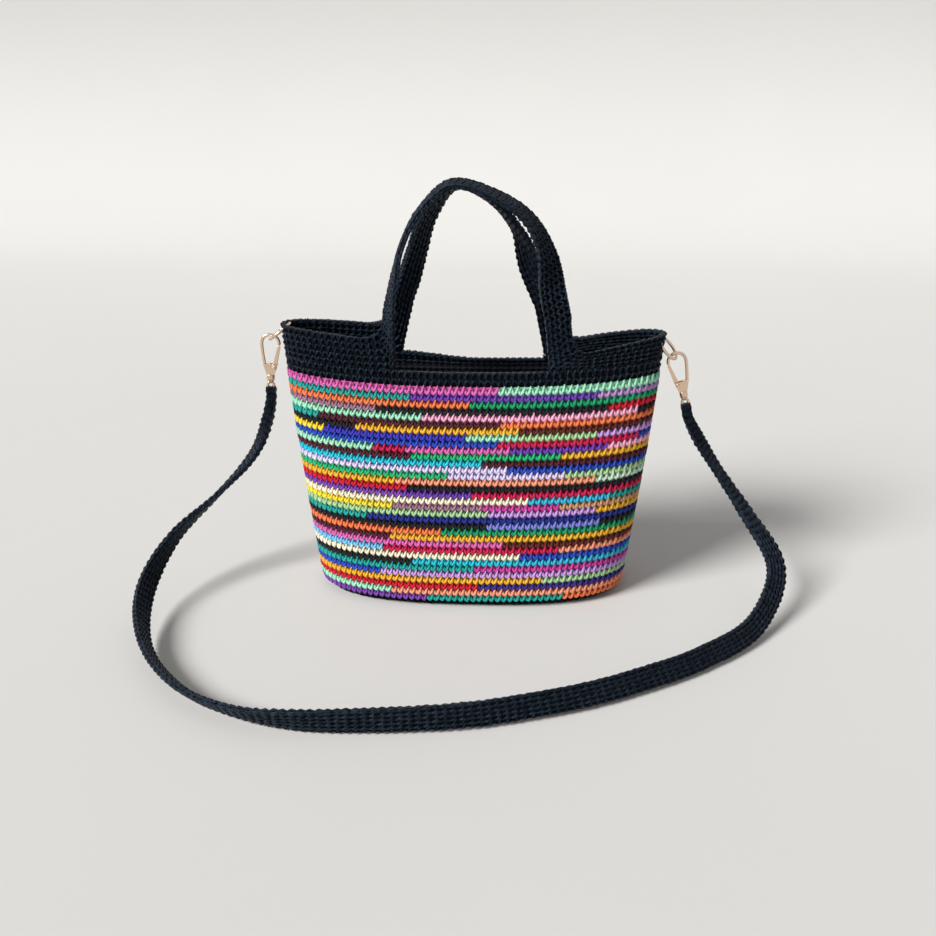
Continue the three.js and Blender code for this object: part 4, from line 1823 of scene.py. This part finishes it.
@dataclass
class SnapHook:
    """A snap hook with its gate, pin and bail, drawn with its bow's inside at the origin, +Z up."""

    ring: SideRing
    tilt: float
    wire: float = 1.15
    bow_radius: float = 6.2
    bow_top: float = 2.9
    bow_steps: int = 90
    nose_angle: float = 191.0
    nose_points: int = 7
    nose_steps: int = 6
    nose_tip: float = 0.02
    spine: Pairs = ((4.1, -20.0), (5.8, -8.9))
    plate: Pairs = (
        (-5, -18.2), (5.3, -18.2), (2.9, -25.6), (1.9, -26.6), (-1.9, -26.6), (-2.9, -25.6),
    )
    plate_thick: float = 3.8
    plate_rounding: float = 0.3
    slot: Pairs = ((-7, -17.2), (2, -17.2), (0, -22.6), (-7, -22.6))
    gate_pivot: Pair = (-2.9, -20.2)
    gate_tip: Pair = (-6.15, -4.85)
    gate_width: float = 2.0
    gate_thick: float = 1.8
    gate_foot: float = 1.6
    gate_rounding: float = 0.35
    foot_steps: int = 12
    pin_radius: float = 0.6
    pin_head: float = 1.0
    pin_head_thick: float = 0.5
    pin_head_side: float = 0.2
    pin_dome: Pairs = ((0.75, -0.1), (0.4, 0.0))
    play: float = 0.3
    barrel: Pairs = (
        (0.05, -26), (2.6, -26), (2.9, -26.3), (2.9, -29.9), (2.6, -30.2), (1.45, -30.2),
        (1.45, -28.7), (2.2, -28.7), (2.2, -27), (0.05, -27),
    )
    post: Pairs = (
        (0.05, -27.3), (1.85, -27.3), (1.85, -28.4), (1.1, -28.4), (1.1, -30.5), (2.2, -30.5),
        (2.4, -30.7), (2.1, -31.6), (1.8, -31.9), (0.05, -31.9),
    )
    bail_half: float = 2.2
    bail_ends: Pair = (-34.0, -37.6)
    bail_wire: float = 0.95
    bail_steps: int = 48
    lathe_sides: int = 32
    wire_sides: int = 14
    bevel_segments: int = 2
    bevel_angle: float = 40.0
    flat_angle: float = 15.0
    head_angle: float = 40.0
    turned_angle: float = 50.0

    def place(self) -> Matrix:
        """Where the hook goes: tilted, hung from its ring and turned to its end of the bag."""
        hung = Matrix.Translation(self.ring.hang()) @ rotation(-self.tilt, "Y")
        return rotation(self.ring.side.value, "Z") @ hung

    def pin_place(self) -> Matrix:
        """Where a form made about +Z goes to lie along the pin."""
        x, z = self.gate_pivot
        return self.place() @ Matrix.Translation((x, 0, z)) @ rotation(90, "X")

    def named(self, words: str) -> str:
        """A piece's name at this end of the bag."""
        return f"{words}_{self.ring.side.label}"

    def bow_line(self) -> Array:
        """Follow the wire's middle from the plate up the spine, over the bow and down to the nose.

        Returns:
            The line's points.
        """
        turn = np.radians(np.linspace(0, self.nose_angle, self.nose_points + 1))
        radius, middle = self.bow_radius, self.bow_top - self.bow_radius
        bow = [(radius * math.cos(a), middle + radius * math.sin(a)) for a in turn]
        posts = np.array([(x, 0.0, z) for x, z in (*self.spine, *bow)])
        return spline(posts, np.linspace(0, 1, self.bow_steps))

    def drill(self, thing: Object) -> None:
        """Cut the pin's hole, with its play, through a piece.

        Args:
            thing: the piece.
        """
        radius, reach = self.pin_radius + self.play, 2 * self.plate_thick
        rod = Shell().turned([(radius, -reach), (radius, reach)], self.lathe_sides)
        cut(thing, rod.build("pin_drill", self.pin_place()))

    def round_edges(self, thing: Object, width: float) -> None:
        """Round the sharp edges of a piece.

        Args:
            thing: the piece.
            width: how wide the rounding is.
        """
        soft = thing.modifiers.new("soft_edges", "BEVEL")
        soft.width = width * MM
        soft.segments = self.bevel_segments
        soft.limit_method = "ANGLE"
        soft.angle_limit = math.radians(self.bevel_angle)
        settle(thing)
        thing.data.shade_smooth()
        keep_sharp(thing, self.flat_angle)

    def body(self, finish: Material) -> Object:
        """Make the hook's casting: the slotted plate, the bow and the swivel's barrel.

        Args:
            finish: its material.

        Returns:
            The casting.
        """
        plate = Shell().slab(self.plate, self.plate_thick)
        thing = plate.build(self.named("hook_casting"), self.place())
        slot = Shell().slab(self.slot, self.gate_thick + 2 * self.play)
        cut(thing, slot.build("gate_slot", self.place()))
        self.drill(thing)
        self.round_edges(thing, self.plate_rounding)
        line = self.bow_line()
        radii = np.full(len(line), self.wire)
        nose = np.linspace(0, 1, self.nose_steps)
        radii[-self.nose_steps:] *= np.sqrt(np.maximum(self.nose_tip, 1 - nose**2))
        forms = Shell().tube(line, radii, self.wire_sides).turned(self.barrel, self.lathe_sides)
        rounds = forms.build("hook_rounds", self.place())
        keep_sharp(rounds, self.turned_angle)
        join(thing, rounds)
        thing.data.materials.append(finish)
        return thing

    def gate(self, finish: Material) -> Object:
        """Make the gate, a bar with a round foot on the pin.

        Args:
            finish: its material.

        Returns:
            The gate.
        """
        (pivot_x, pivot_z), (tip_x, tip_z) = self.gate_pivot, self.gate_tip
        lean = math.atan2(tip_x - pivot_x, tip_z - pivot_z)
        half = self.gate_width / 2 * math.cos(lean)
        outline = [(tip_x + half, tip_z), (tip_x - half, tip_z - self.play)]
        for turn in np.linspace(math.pi, 2 * math.pi, self.foot_steps + 1) - lean:
            x, z = self.gate_foot * math.cos(turn), self.gate_foot * math.sin(turn)
            outline.append((pivot_x + x, pivot_z + z))
        bar = Shell().slab(outline, self.gate_thick)
        thing = bar.build(self.named("gate_bar"), self.place())
        self.drill(thing)
        self.round_edges(thing, self.gate_rounding)
        thing.data.materials.append(finish)
        return thing

    def pin(self, finish: Material) -> Object:
        """Make the gate's pin, with a domed head at each end.

        Args:
            finish: its material.

        Returns:
            The pin.
        """
        reach = self.plate_thick / 2 + self.play
        top = reach + self.pin_head_thick
        half = [
            (self.pin_radius, reach), (self.pin_head, reach),
            (self.pin_head, reach + self.pin_head_side),
            *((share * self.pin_head, top + drop) for share, drop in self.pin_dome),
        ]
        profile = [(r, -z) for r, z in reversed(half)] + half
        rod = Shell().turned(profile, self.lathe_sides)
        thing = rod.build(self.named("gate_rivet"), self.pin_place())
        keep_sharp(thing, self.head_angle)
        thing.data.materials.append(finish)
        return thing

    def bail(self, finish: Material) -> Object:
        """Make the swivel's post and the long loop that the strap end is sewn round.

        Args:
            finish: its material.

        Returns:
            The bail.
        """
        turn = round_angles(self.bail_steps) + math.pi / self.bail_steps
        x, z = self.bail_half * np.cos(turn), self.bail_half * np.sin(turn)
        line = np.stack([x, np.zeros_like(x), z + np.where(z > 0, *self.bail_ends)], axis=1)
        radii = np.full(len(line), self.bail_wire)
        shell = Shell().turned(self.post, self.lathe_sides)
        shell.tube(line, radii, self.wire_sides, looped=True)
        thing = shell.build(self.named("bail_loop"), self.place())
        keep_sharp(thing, self.turned_angle)
        thing.data.materials.append(finish)
        return thing


@dataclass
class ShoulderStrap:
    """The long strap, worked in short rows across its width and sewn to a bail at each end."""

    left: SnapHook
    right: SnapHook
    width: float = 16.0
    thick: float = 5.5
    end_width: float = 8.5
    end_thick: float = 7.0
    taper: float = 90.0
    start: float = -35.5
    lead: float = -47.0
    row: float = 5.2
    across: int = 5
    loop_depth: float = 1.5
    edge_depth: float = 1.5
    loop_height: float = 4.2
    core_shade: float = 0.12
    loop_inset: float = 2.6
    loop_shift: float = 0.55
    end_loops: int = 4
    end_inset: float = 0.9
    end_loop: Triple = (0.5, 1.0, 0.9)
    core_reach: float = 0.3
    core_gap: float = 0.15
    core_section: Pairs = (
        (-1, -0.4), (-1, 0.4), (-0.85, 1), (0.85, 1), (1, 0.4), (1, -0.4), (0.85, -1), (-0.85, -1),
    )
    row_share: float = 0.88
    edge_loop: Pair = (0.85, 0.75)
    line_steps: int = 4000
    end_face: Triple = (0.0, -1.0, 0.0)
    route: Table = (
        (-162.6, 4, 100.9, -0.75, -0.43, 0.5),
        (-193.8, -1, 66.3, -0.67, 0.1, 0.73),
        (-222, -24, 41.5, -0.95, 0.25, 0.21),
        (-231.5, -62.6, 20.5, -0.83, 0.13, -0.54),
        (-213.7, -116.2, 10, -0.77, -0.45, -0.45),
        (-172.7, -163, 8.3, -0.5, -0.62, -0.6),
        (-132.5, -183.5, 8.5, -0.27, -0.81, -0.52),
        (-95.9, -189.5, 8.7, -0.09, -0.98, -0.15),
        (-61.6, -188.6, 8.7, 0.01, -0.99, 0.12),
        (-27.5, -185.8, 8.8, 0.08, -0.96, 0.28),
        (7.2, -180.4, 8.7, 0.17, -0.88, 0.45),
        (41.3, -170.5, 8.3, 0.23, -0.75, 0.62),
        (76.6, -158, 7.9, 0.29, -0.63, 0.71),
        (113.2, -140.8, 7.8, 0.37, -0.59, 0.72),
        (152.7, -118.1, 7.9, 0.45, -0.55, 0.7),
        (197.5, -81, 11.2, 0.45, -0.57, 0.69),
        (221.5, -34.5, 31, 0.29, -0.68, 0.67),
        (204.5, -3.5, 59, 0.47, -0.45, 0.76),
        (180.5, 8, 92, 0.74, -0.43, 0.52),
    )

    def lie(self) -> tuple[Array, Array, Array]:
        """Work out how the strap lies, row by row.

        Returns:
            The middle of each row, the way the strap runs there, and the way its outer face looks.
        """
        def leads(hook: SnapHook, *heights: float) -> list[tuple[float, ...]]:
            """Points straight below a hook, facing the front."""
            place = hook.place()
            return [(*moved(np.array([0.0, 0.0, z]), place), *self.end_face) for z in heights]

        rows = np.array([
            *leads(self.left, self.start, self.lead),
            *self.route,
            *leads(self.right, self.lead, self.start),
        ])
        shares = np.linspace(0, 1, self.line_steps)
        line, faces = spline(rows[:, :3], shares), spline(rows[:, 3:], shares)
        places = even_places(line, round(line_length(line) / self.row), False)
        along = at_places(unit(np.gradient(line, axis=0)), places)
        return at_places(line, places), along, unit(square_to(at_places(faces, places), along))

    def sizes(self, middle: Array) -> tuple[Array, Array]:
        """Measure the strap, which narrows and thickens towards its ends.

        Args:
            middle: the middle of each row.

        Returns:
            Its width and its thickness at each row.
        """
        run = distances(middle)
        full = smooth_share(np.minimum(run, run[-1] - run), 0, self.taper)[:, None]
        wide = self.end_width + (self.width - self.end_width) * full
        return wide, self.end_thick + (self.thick - self.end_thick) * full

    def fabric(self, middle: Array, across: Array, out: Array) -> Object:
        """Make the plain fabric under the strap's loops.

        Args:
            middle: the middle of each row.
            across: the way across the strap.
            out: the way its outer face looks.

        Returns:
            The fabric.
        """
        wide, thick = self.sizes(middle)
        sideways = (wide / 2 - self.edge_depth) * across
        upwards = (thick / 2 - self.loop_depth - self.core_gap) * out
        line = middle.copy()
        line[0] += self.core_reach * (middle[0] - middle[1])
        line[-1] += self.core_reach * (middle[-1] - middle[-2])
        rings = [line + a * sideways + b * upwards for a, b in self.core_section]
        thing = Shell().loft(np.stack(rings, axis=1), capped=True).build("strap_fabric")
        # Painted shade: the fabric takes the cord's colour, darkened for the shadow between the
        # loops
        dye(thing)
        return thing

    def dress(self, hook: CrochetHook, finish: Material) -> tuple[Object, Array]:
        """Work the strap's rows on both faces, along both edges and across both ends.

        Args:
            hook: what works them.
            finish: the cord's material.

        Returns:
            The strap, and the line that it follows.
        """
        middle, along, out = self.lie()
        across = np.cross(out, along)
        wide, thick = self.sizes(middle)
        rows = StitchRows()
        tall = self.row / hook.row
        size = loop_sizes(self.row_share * tall, wide[:, 0] / self.across / self.loop_height, 1.0)
        for k in range(self.across):
            share = (k + 0.5) / self.across - 0.5
            for way in (1, -1):
                sideways = share * (wide - self.loop_inset) + way * self.loop_shift
                places = middle + sideways * across + way * (thick / 2 - self.loop_depth) * out
                rows.add(Stitch.BAR, places, way * out, along, size)
        reach, lift = self.edge_loop
        size = loop_sizes(reach * thick[:, 0] / hook.pitch, tall, lift)
        for way in (1, -1):
            places = middle + way * (wide / 2 - self.edge_depth) * across
            rows.add(Stitch.CHAIN, places, way * across, way * out, size)
        shares = ((np.arange(self.end_loops) + 0.5) / self.end_loops - 0.5)[:, None]
        for end, way in ((0, -1), (-1, 1)):
            tip = middle[end] + way * (self.row / 2 - self.end_inset) * along[end]
            places = tip + shares * (wide[end] - self.edge_depth) * across[end]
            looks, runs = (
                np.broadcast_to(line, places.shape) for line in (way * along[end], across[end])
            )
            rows.add(Stitch.CHAIN, places, looks, runs, self.end_loop)
        fabric = self.fabric(middle, across, out)
        return hook.work("worked_strap", rows, fabric, finish, SEED + 3), middle


@dataclass
class Studio:
    """The camera, the lamp and the pale sweep that the bag stands on."""

    camera_place: Triple = (17.286, -586.642, 332.3)
    camera_turn: Triple = (67.57, 0.0, 2.0)
    lens: float = 32.77
    sensor: float = 36.0
    nearest: float = 10.0
    sweep_half: float = 2600.0
    sweep_front: float = -1600.0
    sweep_back: float = 1500.0
    sweep_curve: float = 700.0
    sweep_steps: int = 12
    sweep_height: float = 2200.0
    surround: str = "#f3f5f8"
    surround_light: float = 0.32
    surround_seen: float = 0.75
    sun_towards: Triple = (-0.9, -0.55, 0.75)
    sun_spread: float = 22.0
    sun_power: float = 4.2

    def place_camera(self) -> None:
        """Set the camera where the photograph was taken from."""
        lens = bpy.data.cameras.new("view")
        lens.lens = self.lens
        lens.sensor_width = self.sensor
        lens.clip_start = MM * self.nearest
        camera = bpy.data.objects.new("view", lens)
        camera.location = [MM * value for value in self.camera_place]
        camera.rotation_euler = [math.radians(value) for value in self.camera_turn]
        bpy.context.scene.collection.objects.link(camera)
        bpy.context.scene.camera = camera

    def lay_sweep(self) -> None:
        """Lay the pale floor, which sweeps up behind the bag."""
        turn = np.linspace(0, math.pi / 2, self.sweep_steps + 1)
        radius, back = self.sweep_curve, self.sweep_back
        curve = [(back + radius * math.sin(a), radius * (1 - math.cos(a))) for a in turn]
        profile = [(self.sweep_front, 0.0), *curve, (curve[-1][0], self.sweep_height)]
        points = [(x, y, z) for y, z in profile for x in (-self.sweep_half, self.sweep_half)]
        faces = [(2 * k, 2 * k + 1, 2 * k + 3, 2 * k + 2) for k in range(len(profile) - 1)]
        sweep = make_object("pale_sweep", np.array(points), faces)
        sweep.data.materials.append(MattPaper().material())

    def add_sun(self) -> None:
        """Add the soft light of a window, from the upper left and front."""
        light = bpy.data.lights.new("window_light", "SUN")
        light.energy = self.sun_power
        light.angle = math.radians(self.sun_spread)
        lamp = bpy.data.objects.new("window_light", light)
        lamp.rotation_euler = Vector(self.sun_towards).to_track_quat("Z", "Y").to_euler()
        bpy.context.scene.collection.objects.link(lamp)

    def light(self) -> None:
        """Light the bag from a window and a pale surround."""
        scene = bpy.context.scene
        scene.view_settings.view_transform = "Standard"
        world = bpy.data.worlds.new("pale_surround")
        world.use_nodes = True
        tree = world.node_tree
        path = add_node(tree, "ShaderNodeLightPath").outputs
        mirrored = add_math(tree, "ADD", path["Is Glossy Ray"], path["Is Transmission Ray"])
        seen = add_math(tree, "ADD", path["Is Camera Ray"], mirrored)
        strength = add_node(
            tree, "ShaderNodeMapRange",
            {"Value": seen, "To Min": self.surround_light, "To Max": self.surround_seen},
        )
        feed(tree, tree.nodes["Background"], {
            "Color": linear(self.surround), "Strength": strength.outputs["Result"],
        })
        scene.world = world
        self.add_sun()


def build_hardware(outline: BagOutline) -> tuple[dict[Side, SnapHook], dict[Side, list[Object]]]:
    """Make the rings and snap hooks at both ends.

    Args:
        outline: the bag's outline.

    Returns:
        The hook's sizes and its pieces, for each end.
    """
    plating, steel = ROSE_GOLD.material(), SPRING_STEEL.material()
    right = SideRing(Side.RIGHT, hole_z=187.5, reach=6.6, droop=46, roll=18, outline=outline)
    left = SideRing(Side.LEFT, hole_z=194.8, reach=4.1, droop=37, roll=0, outline=outline)
    hooks = {Side.RIGHT: SnapHook(right, tilt=16), Side.LEFT: SnapHook(left, tilt=4.5)}
    pieces: dict[Side, list[Object]] = {}
    for side, hook in hooks.items():
        end = side.label
        declare(hook.ring.dress(plating), f"ring_{end}", f"side_ring_{end}")
        pieces[side] = [
            declare(hook.body(plating), f"hook_{end}", f"snap_hook_{end}"),
            declare(hook.gate(plating), f"gate_{end}", f"hook_gate_{end}"),
            declare(hook.pin(plating), f"hook_{end}", f"gate_pin_{end}"),
            declare(hook.bail(plating), "bag", f"swivel_bail_{end}"),
        ]
        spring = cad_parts[f"gate_spring_{end}"]
        spring.data.materials.clear()
        spring.data.materials.append(steel)
    return hooks, pieces


def main() -> None:
    """Build the bag piece by piece and light it."""
    logging.basicConfig(level=logging.INFO, format="%(name)s: %(message)s")
    studio = Studio()
    studio.place_camera()
    outline = BagOutline()
    hooks, hardware = build_hardware(outline)
    cord, cotton = BlackCord().material(), SpunYarn().material()
    crochet = CrochetHook()

    strap, line = ShoulderStrap(hooks[Side.LEFT], hooks[Side.RIGHT]).dress(crochet, cord)
    declare(strap, "bag", "strap")

    for wall in StripedWall(outline).dress(crochet, cotton):
        declare(wall, "bag", "striped_body")
    band = TopBand(outline, LoopedStrip(outline)).dress(crochet, cord)
    declare(band, "bag", "band_and_handles")
    base = OvalBase(outline).dress(crochet, cord)
    declare(base, "bag", "oval_base")
    crochet.put_away()

    studio.lay_sweep()
    studio.light()


if __name__ == "__main__":
    main()
